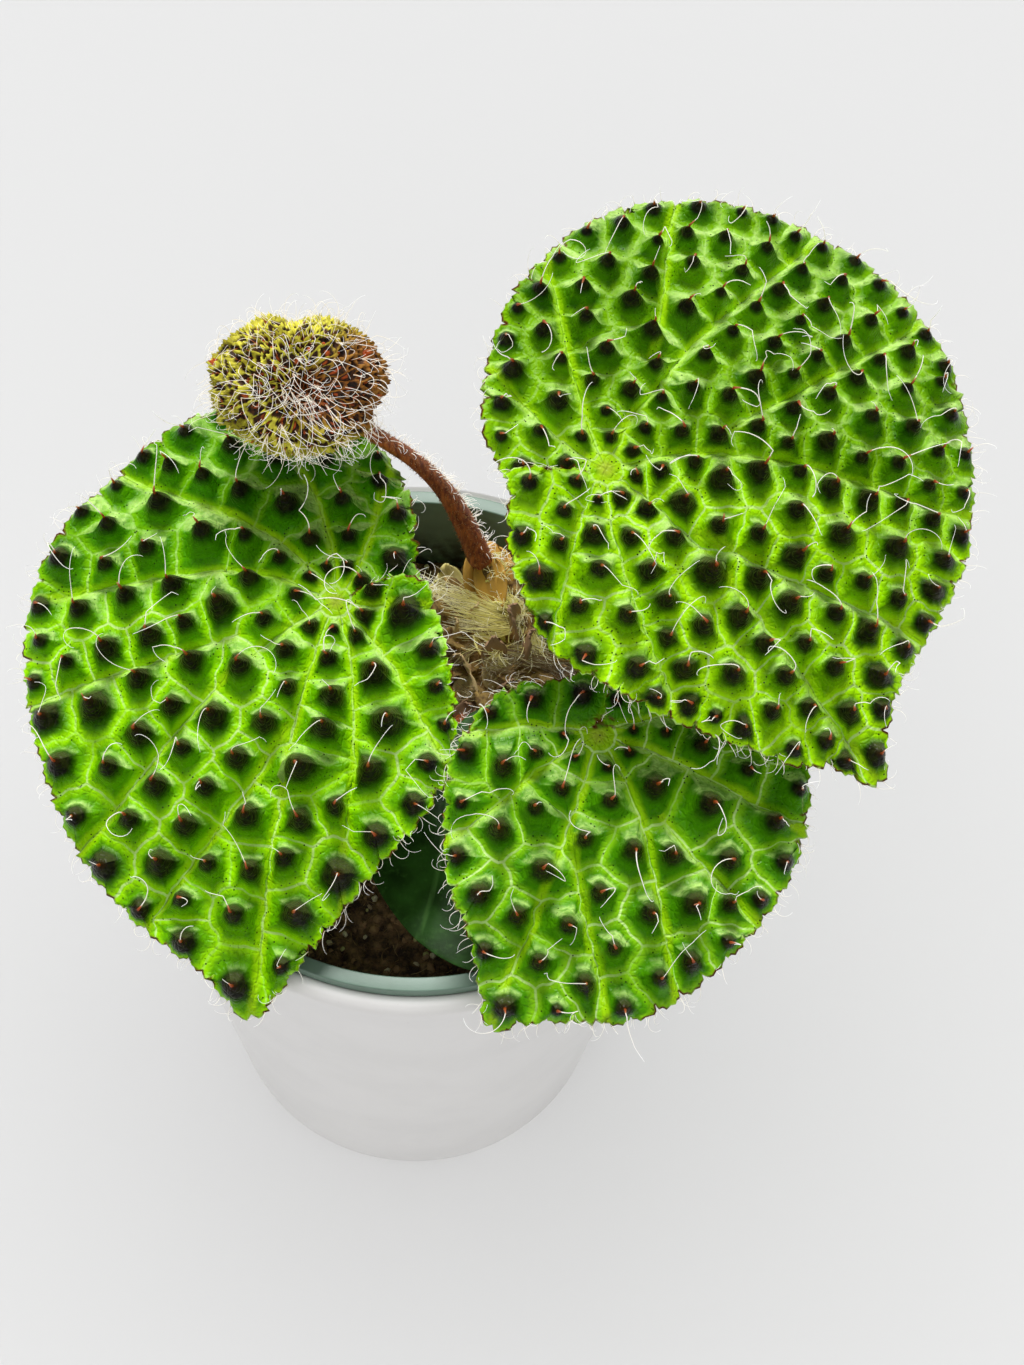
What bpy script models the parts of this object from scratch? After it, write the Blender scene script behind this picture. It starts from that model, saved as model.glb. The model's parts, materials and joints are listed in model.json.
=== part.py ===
"""Potted begonia with bumpy leaves: pot, nursery liner, soil, crown, five leaf stalks and five leaves.

Lengths are in millimetres here and become metres in each mesh. The origin is the middle of the pot's
underside, with +Z up. The plant is seen from -Y, and +X is to its right.
"""

import math
import random

import bmesh
import bpy
from mathutils import Vector, noise

MM = 0.001
GAP = 0.3

# White pot: a plain taper with a thick rounded lip, measured by its rim
POT_HEIGHT = 152.5
POT_RIM_RADIUS = 62.5
POT_BASE_RADIUS = 47.0
POT_BASE_FILLET = 3.6
POT_WALL = 4.3
POT_FLOOR = 5.0
POT_LIP_DEPTH = 7.0

# Nursery liner: a common pot of about 4.5 inches, standing on the white pot's floor
LINER_RISE = 2.5
LINER_LIP_RADIUS = 57.8
LINER_LIP_WIDTH = 2.2
LINER_LIP_DEPTH = 4.0
LINER_WALL = 1.2
LINER_BASE_RADIUS = 41.5
LINER_BEVEL = 0.7
LINER_EDGE = 0.4
ROUND_STEPS = 36

# Soil and the crown that is rooted in it
SOIL_LEVEL = 135.0
SOIL_ROUGHNESS = 1.6
SOIL_EDGE_DROP = 1.5
SOIL_RINGS = (0.12, 0.3, 0.48, 0.66, 0.84, 1.0)
CROWN_AT = (14.0, 28.0)
CROWN_ROOT_RADIUS = 10.0
CROWN_ROOT_DEPTH = 8.0
CROWN_RADIUS = 13.0
CROWN_TOP = 150.0
CROWN_RISE = 2.0
CROWN_LUMP = 2.0
CROWN_LUMP_SCALE = 0.16
CROWN_STEPS = 20
CROWN_RINGS = (0.3, 0.55, 0.78, 0.93, 1.0)
CUTTER_RISE = 12.0

# Bumps: height as a share of their width, and how much of that is the steep cap
BUMP_RISE = 0.62
CAP_SHARE = 0.72
CAP_REACH = 0.66
RING_AT = 0.42
RING_SIDES = 5

# Bumps stand in rows beside each main vein, and evenly between: shares of the wanted spacing
VEIN_BEND = 1.6
ROW_CROWDING = 0.82
SCATTER_CROWDING = 0.86
SCATTER_TRIES = 6000
VEIN_CLEARANCE = 0.36
EDGE_CLEARANCE = 0.34
SLIT_CLEARANCE = 0.4
SNAP_REACH = 0.6

# Spacing as shares of a leaf's own: least, what distance from the stalk adds, and distance from the edge
SPACING_SHARES = (0.62, 0.14, 0.26)
CENTRE_REACH = 24.0
EDGE_REACH = (1.0, 11.0)

# In mm: how close a bump may move to a main vein, how near corners become one, and an outline's fine step
RELAX_CLEARANCE = 2.2
CORNER_MERGE = 0.9
OUTLINE_STEP = 4.0

# Leaf blades: thickness along the leaf's own normal, inside and at the cut edge
BLADE_THICKNESS = 1.2
EDGE_THICKNESS = 0.8
TOOTH_LENGTH = 5.6
TOOTH_HEIGHT = 1.5
PAD_RADIUS = 2.9
PAD_RING = 2.2

# A blade is quilted between its main veins and waves a little at its edge
QUILT_RISE = 1.7
QUILT_REACH = 4.5
QUILT_START = (3.0, 16.0)
EDGE_WAVE = 1.1
EDGE_WAVES = 9
EDGE_WAVE_REACH = 9.0
LAP_ANGLE = 40.0

# Each leaf: where its stalk meets it, its normal and the way to its tip, and how strongly it is domed.
# outline holds (angle from the tip's direction in degrees, reach in mm), anticlockwise seen from above.
# veins hold (angle at the stalk, angle at the edge, where it leaves its parent as a share of its reach).
# slit is the angle of the cut between the two base lobes, and lap how far they move across it and rise (mm).
# A positive rise lifts the lobe that lies anticlockwise of the slit.
LEAVES = {
    "blade_left": {
        "junction": (-17.5, 11.2, 188.0),
        "normal": (-0.034, -0.174, 0.984),
        "tip_way": (-0.134, -0.975, -0.177),
        "dome": (160.0, 220.0),
        "outline": [
            (0, 83), (6, 71), (13, 61), (22, 53), (32, 48), (45, 41), (58, 33), (74, 25), (92, 21),
            (120, 17), (140, 20), (160, 27), (178, 35), (-166, 43), (-153, 47), (-138, 51), (-124, 53),
            (-108, 56), (-94, 60), (-80, 63), (-64, 65), (-49, 67), (-34, 71), (-20, 74), (-8, 77), (-3, 81),
        ],
        "veins": [
            (-11, 0, 0.0), (-8, -19, 0.35), (-52, -35, 0.0), (-60, -62, 0.3), (-114, -81, 0.0),
            (-140, -112, 0.0), (-172, -150, 0.0), (150, 172, 0.0), (88, 98, 0.0), (62, 46, 0.0),
            (36, 13, 0.0),
        ],
        "slit": 118.0,
        "lap": (0.9, -2.0),
        "spacing": 8.6,
        "seed": 3,
    },
    "blade_right": {
        "junction": (34.6, 28.5, 218.0),
        "normal": (0.051, -0.242, 0.969),
        "tip_way": (0.735, -0.648, -0.2),
        "dome": (180.0, 150.0),
        "outline": [
            (0, 81), (4, 76), (12, 71), (24, 72), (38, 75), (54, 77), (69, 79), (82, 77), (95, 74), (108, 69),
            (121, 63), (136, 56), (150, 47), (163, 40), (178, 33), (-166, 28), (-150, 24), (-134, 20),
            (-118, 19), (-102, 22), (-87, 26), (-72, 31), (-58, 37), (-43, 42), (-33, 47), (-24, 52),
            (-15, 60), (-8, 69), (-4, 72),
        ],
        "veins": [
            (14, 0, 0.0), (12, 22, 0.3), (67, 44, 0.0), (68, 76, 0.3), (113, 97, 0.0), (114, 122, 0.35),
            (160, 150, 0.0), (-158, -176, 0.0), (-76, -60, 0.0), (-45, -26, 0.0),
        ],
        "slit": -122.0,
        "lap": (1.2, 2.0),
        "spacing": 7.3,
        "seed": 8,
    },
    "blade_front": {
        "junction": (37.2, -13.7, 186.0),
        "normal": (0.034, -0.259, 0.965),
        "tip_way": (-0.277, -0.931, -0.24),
        "dome": (230.0, 230.0),
        "outline": [
            (0, 61), (5, 58), (14, 56), (26, 56), (40, 53), (52, 50), (64, 48), (80, 46), (96, 43), (114, 38),
            (132, 31), (150, 22), (170, 13), (-168, 11), (-150, 12), (-127, 13), (-112, 15), (-98, 19),
            (-83, 23), (-70, 26), (-52, 31), (-38, 35), (-25, 41), (-18, 44), (-10, 48), (-4, 55),
        ],
        "veins": [
            (5, 0, 0.0), (6, 22, 0.35), (57, 37, 0.0), (57, 61, 0.4), (98, 86, 0.0), (135, 118, 0.0),
            (-90, -72, 0.0), (-44, -34, 0.0),
        ],
        "slit": -176.0,
        "lap": (0.6, 1.6),
        "spacing": 8.8,
        "seed": 5,
    },
}

# The smooth leaf lies low between the left and front leaves, its tip over the liner's lip
SMOOTH_LEAF = {
    "junction": (9.0, -2.0, 152.5),
    "normal": (-0.05, 0.087, 1.0),
    "tip_way": (0.2, -0.975, 0.1),
    "dome": (2000.0, 160.0),
    "outline": [
        (0, 56), (14, 50), (30, 42), (52, 33), (80, 25), (115, 17), (150, 10), (180, 5), (-150, 9),
        (-115, 15), (-80, 22), (-52, 30), (-30, 40), (-14, 50),
    ],
}

SMOOTH_WAVE = 0.35
SMOOTH_WAVES = 5
SMOOTH_SPOKES = 28
SMOOTH_RINGS = (0.3, 0.65, 1.0)

# Leaf stalks: points from inside the crown to just under the leaf, the straight run square to the leaf,
# the radius at base and top, and the length of the stub that is one with the crown
STALKS = {
    "petiole_left": {
        "path": [(10, 29, 143), (0, 31, 152), (-11, 26, 166)],
        "leaf": "blade_left",
        "straight": 9.0,
        "radius": (3.0, 1.9),
        "stub": 14.0,
    },
    "petiole_right": {
        "path": [(18, 33, 143), (21, 38, 154), (28, 41, 178), (33, 36, 200)],
        "leaf": "blade_right",
        "straight": 9.0,
        "radius": (3.3, 2.0),
        "stub": 13.0,
    },
    "petiole_front": {
        "path": [(20, 22, 142), (31, 13, 150), (37, 0, 163)],
        "leaf": "blade_front",
        "straight": 9.0,
        "radius": (3.0, 1.9),
        "stub": 13.5,
    },
    "petiole_smooth": {
        "path": [(11, 18, 141), (9, 9, 142.5), (8, 1, 146)],
        "leaf": "blade_smooth",
        "straight": 1.6,
        "radius": (2.0, 1.5),
        "stub": 8.0,
    },
    "petiole_furled": {
        "path": [
            (14, 36, 143), (11.5, 40.5, 154), (4.5, 45.5, 172), (-3, 45, 188), (-11, 42.5, 201),
            (-15.5, 42.2, 206.8),
        ],
        "leaf": None,
        "radius": (3.3, 1.8),
        "stub": 13.5,
    },
}
STALK_SIDES = 8
STALK_SEGMENT = 6.5
STALK_TAPER_END = 0.8

# Stipules stand round the crown between the stalks: their directions in degrees. Lean (degrees) and reach
# (shares of the crown's radius) are each the first one's, and what the last one adds.
STIPULE_TURNS = (5, 205, 78, 290, 133, 232, 345, 152, 272)
STIPULE_LENGTH = (8.0, 13.0)
STIPULE_WIDTH = 7.0
STIPULE_THICKNESS = 0.9
STIPULE_LEAN = (24.0, 30.0)
STIPULE_REACH = (0.42, 0.4)
STIPULE_SINK = 2.5
STIPULE_CUP = 1.2
STIPULE_ROWS = 5
STIPULE_SPREAD = (-1, 0, 1)
STIPULE_SEED = 40

# Furled leaf: a lumpy cup that opens towards the viewer, with small crowded bumps
FURLED_AT = (-27.6, 46.2, 212.6)
FURLED_RADII = (17.6, 13.9, 13.9)
FURLED_MOUTH = (0.12, -0.7, 0.7)
FURLED_DISH = 0.38
FURLED_DISH_REACH = (0.62, 0.98)
FURLED_FOLD = 0.12
FURLED_FOLD_WAY = (0.75, 0.5, 0.45)
FURLED_LUMP = 0.07
FURLED_BUMP = 2.3
FURLED_TIP_SHARE = 0.6
FURLED_DETAIL = 4

# Colours: red, green, blue, roughness
FINISHES = {
    "glazed_white": (0.82, 0.81, 0.80, 0.25),
    "liner_green": (0.24, 0.33, 0.27, 0.5),
    "soil_brown": (0.05, 0.032, 0.022, 0.9),
    "crown_tan": (0.42, 0.33, 0.17, 0.85),
    "stalk_red": (0.30, 0.11, 0.04, 0.6),
    "leaf_green": (0.16, 0.46, 0.02, 0.35),
    "leaf_dark": (0.03, 0.12, 0.02, 0.35),
    "furled_olive": (0.36, 0.38, 0.04, 0.6),
}


def clear_scene():
    """Remove whatever the file holds."""
    for thing in list(bpy.data.objects):
        bpy.data.objects.remove(thing, do_unlink=True)


def finish(name):
    """The named finish as a Principled material."""
    found = bpy.data.materials.get(name)
    if found:
        return found
    red, green, blue, roughness = FINISHES[name]
    material = bpy.data.materials.new(name)
    material.use_nodes = True
    shader = material.node_tree.nodes["Principled BSDF"]
    shader.inputs["Base Color"].default_value = (red, green, blue, 1.0)
    shader.inputs["Roughness"].default_value = roughness
    shader.inputs["Metallic"].default_value = 0.0
    material.diffuse_color = (red, green, blue, 1.0)
    return material


def solid(name, points, faces, finish_name, smooth_angle=40.0):
    """A mesh object from points in millimetres and faces, in metres, with its finish."""
    mesh = bpy.data.meshes.new(name)
    mesh.from_pydata([tuple(c * MM for c in p) for p in points], [], faces)
    mesh.validate()
    piece = bpy.data.objects.new(name, mesh)
    bpy.context.scene.collection.objects.link(piece)
    mesh.materials.append(finish(finish_name))
    mesh.shade_smooth()
    mesh.set_sharp_from_angle(angle=math.radians(smooth_angle))
    return piece


def face_out(piece):
    """Turn all faces of a closed mesh outwards."""
    cleaner = bmesh.new()
    cleaner.from_mesh(piece.data)
    bmesh.ops.recalc_face_normals(cleaner, faces=cleaner.faces)
    cleaner.to_mesh(piece.data)
    cleaner.free()


def smoothstep(low, high, value):
    """0 below low, 1 above high, and a smooth ramp between."""
    share = min(1.0, max(0.0, (value - low) / (high - low)))
    return share * share * (3 - 2 * share)


def turned(name, profile, finish_name, steps=ROUND_STEPS):
    """A closed solid turned round Z from (radius, height) points. Its ends lie on the axis."""
    points, rings = [], []
    for radius, height in profile:
        if radius < 1e-6:
            rings.append([len(points)])
            points.append((0.0, 0.0, height))
            continue
        ring = []
        for step in range(steps):
            angle = 2 * math.pi * step / steps
            ring.append(len(points))
            points.append((radius * math.cos(angle), radius * math.sin(angle), height))
        rings.append(ring)
    faces = []
    for low, high in zip(rings, rings[1:]):
        for step in range(steps):
            after = (step + 1) % steps
            if len(low) == 1:
                faces.append((low[0], high[after], high[step]))
            elif len(high) == 1:
                faces.append((low[step], low[after], high[0]))
            else:
                faces.append((low[step], low[after], high[after], high[step]))
    piece = solid(name, points, faces, finish_name)
    face_out(piece)
    return piece


def arc(centre, radius, start, end, count):
    """Points on an arc of a turned profile, angles in degrees from outwards, up."""
    step = (end - start) / (count - 1)
    turns = [math.radians(start + step * k) for k in range(count)]
    return [(centre[0] + radius * math.cos(t), centre[1] + radius * math.sin(t)) for t in turns]


def pot_wall_radius(height):
    """Outer radius of the white pot's plain taper at a height."""
    return POT_BASE_RADIUS + (POT_RIM_RADIUS - POT_BASE_RADIUS) * height / POT_HEIGHT


def liner_wall_radius(height):
    """Outer radius of the liner's wall at a height."""
    foot = POT_FLOOR + GAP
    top_radius = LINER_LIP_RADIUS - LINER_LIP_WIDTH + LINER_WALL
    share = (height - foot) / (POT_HEIGHT + LINER_RISE - foot)
    return LINER_BASE_RADIUS + (top_radius - LINER_BASE_RADIUS) * share


def make_outer_pot():
    """White glazed pot: flat base with a small fillet, straight taper, thick rounded lip."""
    lip_radius = POT_WALL / 2
    lip_centre = (POT_RIM_RADIUS - lip_radius, POT_HEIGHT - lip_radius)
    fillet_centre = (POT_BASE_RADIUS - POT_BASE_FILLET, POT_BASE_FILLET)
    lip_foot = POT_HEIGHT - POT_LIP_DEPTH
    profile = [(0.0, 0.0)]
    profile += arc(fillet_centre, POT_BASE_FILLET, -90, 0, 4)
    profile += [(pot_wall_radius(lip_foot), lip_foot)]
    profile += arc(lip_centre, lip_radius, 0, 180, 7)
    profile += [(pot_wall_radius(lip_foot) - POT_WALL, lip_foot)]
    profile += [(pot_wall_radius(POT_FLOOR) - POT_WALL, POT_FLOOR), (0.0, POT_FLOOR)]
    return turned("outer_pot", profile, "glazed_white")


def make_liner():
    """Thin sage green nursery pot with a stepped lip, on the white pot's floor."""
    foot = POT_FLOOR + GAP
    top = POT_HEIGHT + LINER_RISE
    lip_foot = top - LINER_LIP_DEPTH
    inner_top = LINER_LIP_RADIUS - LINER_LIP_WIDTH
    profile = [
        (0.0, foot),
        (LINER_BASE_RADIUS, foot),
        (liner_wall_radius(lip_foot), lip_foot),
        (LINER_LIP_RADIUS, lip_foot + LINER_EDGE),
        (LINER_LIP_RADIUS, top - LINER_BEVEL),
        (LINER_LIP_RADIUS - LINER_BEVEL, top),
        (inner_top + LINER_EDGE, top),
        (inner_top, top - LINER_EDGE),
        (liner_wall_radius(foot + LINER_WALL) - LINER_WALL, foot + LINER_WALL),
        (0.0, foot + LINER_WALL),
    ]
    return turned("nursery_liner", profile, "liner_green")


def soil_height(x, y):
    """Top of the soil at a place, gently lumpy."""
    coarse = noise.noise(Vector((x * 0.09, y * 0.09, 0.7)))
    fine = noise.noise(Vector((x * 0.23, y * 0.23, 4.2)))
    return SOIL_LEVEL + SOIL_ROUGHNESS * (coarse + 0.6 * fine)


def make_soil():
    """Soil that fills the liner, with a plain hole for the crown's root."""
    foot = POT_FLOOR + GAP + LINER_WALL + GAP
    steps = ROUND_STEPS
    rim = liner_wall_radius(SOIL_LEVEL - 2 * SOIL_EDGE_DROP) - LINER_WALL - GAP
    points = [(0.0, 0.0, soil_height(0.0, 0.0))]
    for share in SOIL_RINGS:
        for step in range(steps):
            angle = 2 * math.pi * step / steps
            x, y = share * rim * math.cos(angle), share * rim * math.sin(angle)
            points.append((x, y, soil_height(x, y) if share < 1 else SOIL_LEVEL - SOIL_EDGE_DROP))
    base = liner_wall_radius(foot) - LINER_WALL - GAP
    for step in range(steps):
        angle = 2 * math.pi * step / steps
        points.append((base * math.cos(angle), base * math.sin(angle), foot))
    points.append((0.0, 0.0, foot))
    faces = []
    for step in range(steps):
        after = (step + 1) % steps
        faces.append((0, 1 + step, 1 + after))
        for ring in range(len(SOIL_RINGS)):
            low, high = 1 + ring * steps, 1 + (ring + 1) * steps
            faces.append((low + step, high + step, high + after, low + after))
        last = 1 + len(SOIL_RINGS) * steps
        faces.append((last + after, last + step, len(points) - 1))
    piece = solid("soil", points, faces, "soil_brown", 80.0)
    face_out(piece)
    depth = SOIL_LEVEL - CROWN_ROOT_DEPTH - GAP
    hole = bore(CROWN_AT, CROWN_ROOT_RADIUS + GAP, depth, SOIL_LEVEL + CUTTER_RISE)
    boolean(piece, hole, "DIFFERENCE")
    return piece


def bore(centre, radius, low, high, sides=CROWN_STEPS):
    """An upright cylinder, used as a cutter."""
    points = []
    for height in (low, high):
        for side in range(sides):
            angle = 2 * math.pi * side / sides
            x, y = centre[0] + radius * math.cos(angle), centre[1] + radius * math.sin(angle)
            points.append((x, y, height))
    faces = [tuple(reversed(range(sides))), tuple(range(sides, 2 * sides))]
    for side in range(sides):
        after = (side + 1) % sides
        faces.append((side, after, sides + after, sides + side))
    return solid("cutter", points, faces, "soil_brown")


def boolean(piece, tool, operation):
    """Apply a Boolean with the EXACT solver and remove the tool."""
    change = piece.modifiers.new("shape", "BOOLEAN")
    change.object = tool
    change.operation = operation
    change.solver = "EXACT"
    apply_modifiers(piece)
    bpy.data.objects.remove(tool, do_unlink=True)


def apply_modifiers(piece):
    """Replace the piece's mesh by its evaluated one."""
    sight = bpy.context.evaluated_depsgraph_get()
    made = bpy.data.meshes.new_from_object(piece.evaluated_get(sight))
    piece.modifiers.clear()
    piece.data = made


def smooth_path(knots, count):
    """Evenly numbered points on a Catmull-Rom curve through the knots."""
    knots = [Vector(k) for k in knots]
    ends = [2 * knots[0] - knots[1]] + knots + [2 * knots[-1] - knots[-2]]
    spans = len(knots) - 1
    found = []
    for k in range(count):
        at = spans * k / (count - 1)
        span = min(spans - 1, int(at))
        t = at - span
        a, b, c, d = ends[span : span + 4]
        square, cube = 2 * a - 5 * b + 4 * c - d, 3 * b - a - 3 * c + d
        found.append(0.5 * ((2 * b) + (c - a) * t + square * t * t + cube * t**3))
    return found


def tube(name, path, radii, finish_name, ways=(None, None), sides=STALK_SIDES):
    """A round closed tube along a path, with a radius for each of its points.

    Its two ends can lie square to directions of their own.
    """
    points, faces = [], []
    side_way = None
    for k, at in enumerate(path):
        along = (path[min(k + 1, len(path) - 1)] - path[max(k - 1, 0)]).normalized()
        if k == 0 and ways[0]:
            along = ways[0]
        if k == len(path) - 1 and ways[1]:
            along = ways[1]
        if side_way is None:
            side_way = along.orthogonal().normalized()
        side_way = (side_way - along * side_way.dot(along)).normalized()
        other = along.cross(side_way)
        for side in range(sides):
            angle = 2 * math.pi * side / sides
            points.append(at + radii[k] * (math.cos(angle) * side_way + math.sin(angle) * other))
    for k in range(len(path) - 1):
        low, high = k * sides, (k + 1) * sides
        for side in range(sides):
            after = (side + 1) % sides
            faces.append((low + side, low + after, high + after, high + side))
    faces.append(tuple(reversed(range(sides))))
    faces.append(tuple(range((len(path) - 1) * sides, len(path) * sides)))
    piece = solid(name, points, faces, finish_name, 60.0)
    face_out(piece)
    return piece


def stalk_path(name):
    """Points of a stalk from inside the crown to just under its leaf."""
    stalk = STALKS[name]
    knots = [Vector(k) for k in stalk["path"]]
    if stalk["leaf"]:
        normal = leaf_normal(name)
        thickness = BLADE_THICKNESS if stalk["leaf"] in LEAVES else EDGE_THICKNESS
        top = Vector(leaf_of(name)["junction"]) - normal * (thickness + GAP)
        knots += [top - normal * stalk["straight"], top]
    return smooth_path(knots, 6 * len(knots))


def leaf_of(name):
    """The leaf that a stalk carries."""
    return LEAVES.get(STALKS[name]["leaf"], SMOOTH_LEAF)


def leaf_normal(name):
    """The normal of the leaf that a stalk carries, or nothing for the furled leaf."""
    return Vector(leaf_of(name)["normal"]).normalized() if STALKS[name]["leaf"] else None


def split_stalk(name):
    """The stub and the free part of a stalk, a small gap apart: each as path, radii and end directions."""
    path = stalk_path(name)
    base, top = STALKS[name]["radius"]
    lengths = [0.0]
    for a, b in zip(path, path[1:]):
        lengths.append(lengths[-1] + (b - a).length)
    cut = STALKS[name]["stub"]

    def at(run):
        for k in range(len(path) - 1):
            if lengths[k + 1] >= run:
                share = (run - lengths[k]) / (lengths[k + 1] - lengths[k])
                return path[k].lerp(path[k + 1], share)
        return path[-1]

    def radius(run):
        return base + (top - base) * smoothstep(0.0, STALK_TAPER_END, run / lengths[-1])

    stub_runs = [0.0, cut * 0.5, cut]
    pieces = max(6, round((lengths[-1] - cut) / STALK_SEGMENT))
    free_runs = [cut + GAP + (lengths[-1] - cut - GAP) * k / pieces for k in range(pieces + 1)]
    way = (at(cut + 1) - at(cut - 1)).normalized()
    stub = ([at(run) for run in stub_runs], [radius(run) for run in stub_runs], (None, way))
    free = ([at(run) for run in free_runs], [radius(run) for run in free_runs], (way, leaf_normal(name)))
    return stub, free


def make_stalks():
    """The free part of each stalk, from its stub on the crown to its leaf."""
    pieces = []
    for name in STALKS:
        path, radii, ways = split_stalk(name)[1]
        pieces.append(tube(name, path, radii, "stalk_red", ways))
    return pieces


def stipule(number):
    """One papery bract, a curved pointed blade whose foot is sunk in the crown."""
    draw = random.Random(STIPULE_SEED + number)
    turn = math.radians(STIPULE_TURNS[number])
    outer = number / len(STIPULE_TURNS)
    lean = math.radians(STIPULE_LEAN[0] + STIPULE_LEAN[1] * outer)
    length = draw.uniform(*STIPULE_LENGTH)
    reach = CROWN_RADIUS * (STIPULE_REACH[0] + STIPULE_REACH[1] * outer)
    out = Vector((math.cos(turn), math.sin(turn), 0.0))
    across = Vector((-out.y, out.x, 0.0))
    foot = Vector((CROWN_AT[0], CROWN_AT[1], 0.0)) + out * reach
    foot.z = crown_height(reach, turn) - STIPULE_SINK
    rows, width = STIPULE_ROWS, len(STIPULE_SPREAD)
    count = rows * width
    points = []
    for layer in (0.0, STIPULE_THICKNESS):
        for row in range(rows):
            share = row / (rows - 1)
            tilt = lean * (0.5 + share)
            along = out * math.sin(tilt) + Vector((0, 0, math.cos(tilt)))
            face = out * math.cos(tilt) - Vector((0, 0, math.sin(tilt)))
            half = STIPULE_WIDTH / 2 * math.sqrt(max(0.04, 1 - share**2.2))
            for spread in STIPULE_SPREAD:
                lift = layer - STIPULE_CUP * spread * spread
                points.append(foot + along * (length * share) + across * (half * spread) + face * lift)
    faces = []
    for row in range(rows - 1):
        for side in range(width - 1):
            a = row * width + side
            faces.append((a, a + 1, a + width + 1, a + width))
            faces.append((count + a, count + a + width, count + a + width + 1, count + a + 1))
    edge = list(range(width)) + [row * width + width - 1 for row in range(1, rows)]
    edge += [(rows - 1) * width + side for side in range(width - 2, -1, -1)]
    edge += [row * width for row in range(rows - 2, 0, -1)]
    for k, a in enumerate(edge):
        b = edge[(k + 1) % len(edge)]
        faces.append((a, count + a, count + b, b))
    piece = solid("stipule", points, faces, "crown_tan", 60.0)
    face_out(piece)
    return piece


def crown_height(reach, turn):
    """Top of the crown's lump at a distance and direction from its middle."""
    dome = math.sqrt(max(0.0, 1 - (reach / CROWN_RADIUS) ** 2))
    place = Vector((math.cos(turn) * reach, math.sin(turn) * reach, 0.0)) * CROWN_LUMP_SCALE
    lump = noise.noise(place + Vector((0.0, 0.0, 2.0)))
    foot = SOIL_LEVEL + CROWN_RISE
    return foot + (CROWN_TOP - foot) * dome + CROWN_LUMP * lump * dome


def make_crown():
    """The hairy base of the plant: root, lump, stalk stubs and stipules in one solid."""
    steps = CROWN_STEPS
    floor = SOIL_LEVEL - CROWN_ROOT_DEPTH
    under = SOIL_LEVEL + SOIL_ROUGHNESS + 0.2
    points = [(CROWN_AT[0], CROWN_AT[1], crown_height(0, 0))]
    faces = []

    def add_ring(reach, height_at):
        for step in range(steps):
            turn = 2 * math.pi * step / steps
            x, y = CROWN_AT[0] + reach * math.cos(turn), CROWN_AT[1] + reach * math.sin(turn)
            points.append((x, y, height_at(turn)))

    for share in CROWN_RINGS:
        add_ring(CROWN_RADIUS * share, lambda turn: crown_height(CROWN_RADIUS * share * 0.995, turn))
    add_ring(CROWN_ROOT_RADIUS, lambda turn: under)
    add_ring(CROWN_ROOT_RADIUS, lambda turn: floor)
    points.append((CROWN_AT[0], CROWN_AT[1], floor))
    rings = len(CROWN_RINGS) + 2
    for step in range(steps):
        after = (step + 1) % steps
        faces.append((0, 1 + step, 1 + after))
        for ring in range(rings - 1):
            low, high = 1 + ring * steps, 1 + (ring + 1) * steps
            faces.append((low + step, high + step, high + after, low + after))
        last = 1 + (rings - 1) * steps
        faces.append((last + after, last + step, len(points) - 1))
    crown = solid("crown", points, faces, "crown_tan", 60.0)
    face_out(crown)
    extras = [stipule(number) for number in range(len(STIPULE_TURNS))]
    for name in STALKS:
        path, radii, ways = split_stalk(name)[0]
        extras.append(tube("stub", path, radii, "crown_tan", ways))
    union(crown, extras)
    return crown


def union(piece, extras):
    """Join a set of closed solids to a piece in one Boolean with the EXACT solver, and remove them."""
    group = bpy.data.collections.new("joined")
    bpy.context.scene.collection.children.link(group)
    for extra in extras:
        group.objects.link(extra)
    change = piece.modifiers.new("join", "BOOLEAN")
    change.operand_type = "COLLECTION"
    change.collection = group
    change.operation = "UNION"
    change.solver = "EXACT"
    apply_modifiers(piece)
    for extra in extras:
        bpy.data.objects.remove(extra, do_unlink=True)
    bpy.data.collections.remove(group)


def periodic(knots, angle):
    """A smooth closed curve through (angle, reach) knots, read at an angle in degrees."""
    ordered = sorted((a % 360.0, reach) for a, reach in knots)
    count = len(ordered)
    angle %= 360.0
    span = count - 1
    for k in range(count - 1):
        if ordered[k][0] <= angle < ordered[k + 1][0]:
            span = k

    def knot(k):
        turn, place = divmod(k, count)
        return ordered[place][0] + 360.0 * turn, ordered[place][1]

    if span == count - 1 and angle < ordered[0][0]:
        angle += 360.0
    (a0, r0), (a1, r1), (a2, r2), (a3, r3) = (knot(span + d) for d in (-1, 0, 1, 2))
    t = (angle - a1) / (a2 - a1)
    m1 = (r2 - r0) / (a2 - a0) * (a2 - a1)
    m2 = (r3 - r1) / (a3 - a1) * (a2 - a1)
    return (
        (2 * t**3 - 3 * t * t + 1) * r1 + (t**3 - 2 * t * t + t) * m1
        + (3 * t * t - 2 * t**3) * r2 + (t**3 - t * t) * m2
    )


def edge_points(leaf, step):
    """The leaf's smooth outline as points a given distance apart, anticlockwise."""
    fine = []
    for k in range(1440):
        angle = k / 4
        reach = periodic(leaf["outline"], angle)
        fine.append(Vector((reach * math.cos(math.radians(angle)), reach * math.sin(math.radians(angle)))))
    runs = [0.0]
    for k, at in enumerate(fine):
        runs.append(runs[-1] + (fine[(k + 1) % len(fine)] - at).length)
    count = 2 * round(runs[-1] / step / 2)
    found, k = [], 0
    for number in range(count):
        want = runs[-1] * number / count
        while runs[k + 1] < want:
            k += 1
        share = (want - runs[k]) / (runs[k + 1] - runs[k])
        found.append(fine[k].lerp(fine[(k + 1) % len(fine)], share))
    return found


def vein_angle(vein, share):
    """Direction of a main vein at a share of its reach, in degrees: it bends towards the leaf's tip."""
    start, end, leaves_at = vein
    if leaves_at and share < leaves_at:
        return None
    run = (share - leaves_at) / (1 - leaves_at)
    return end + (start - end) * (1 - run) ** VEIN_BEND


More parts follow.
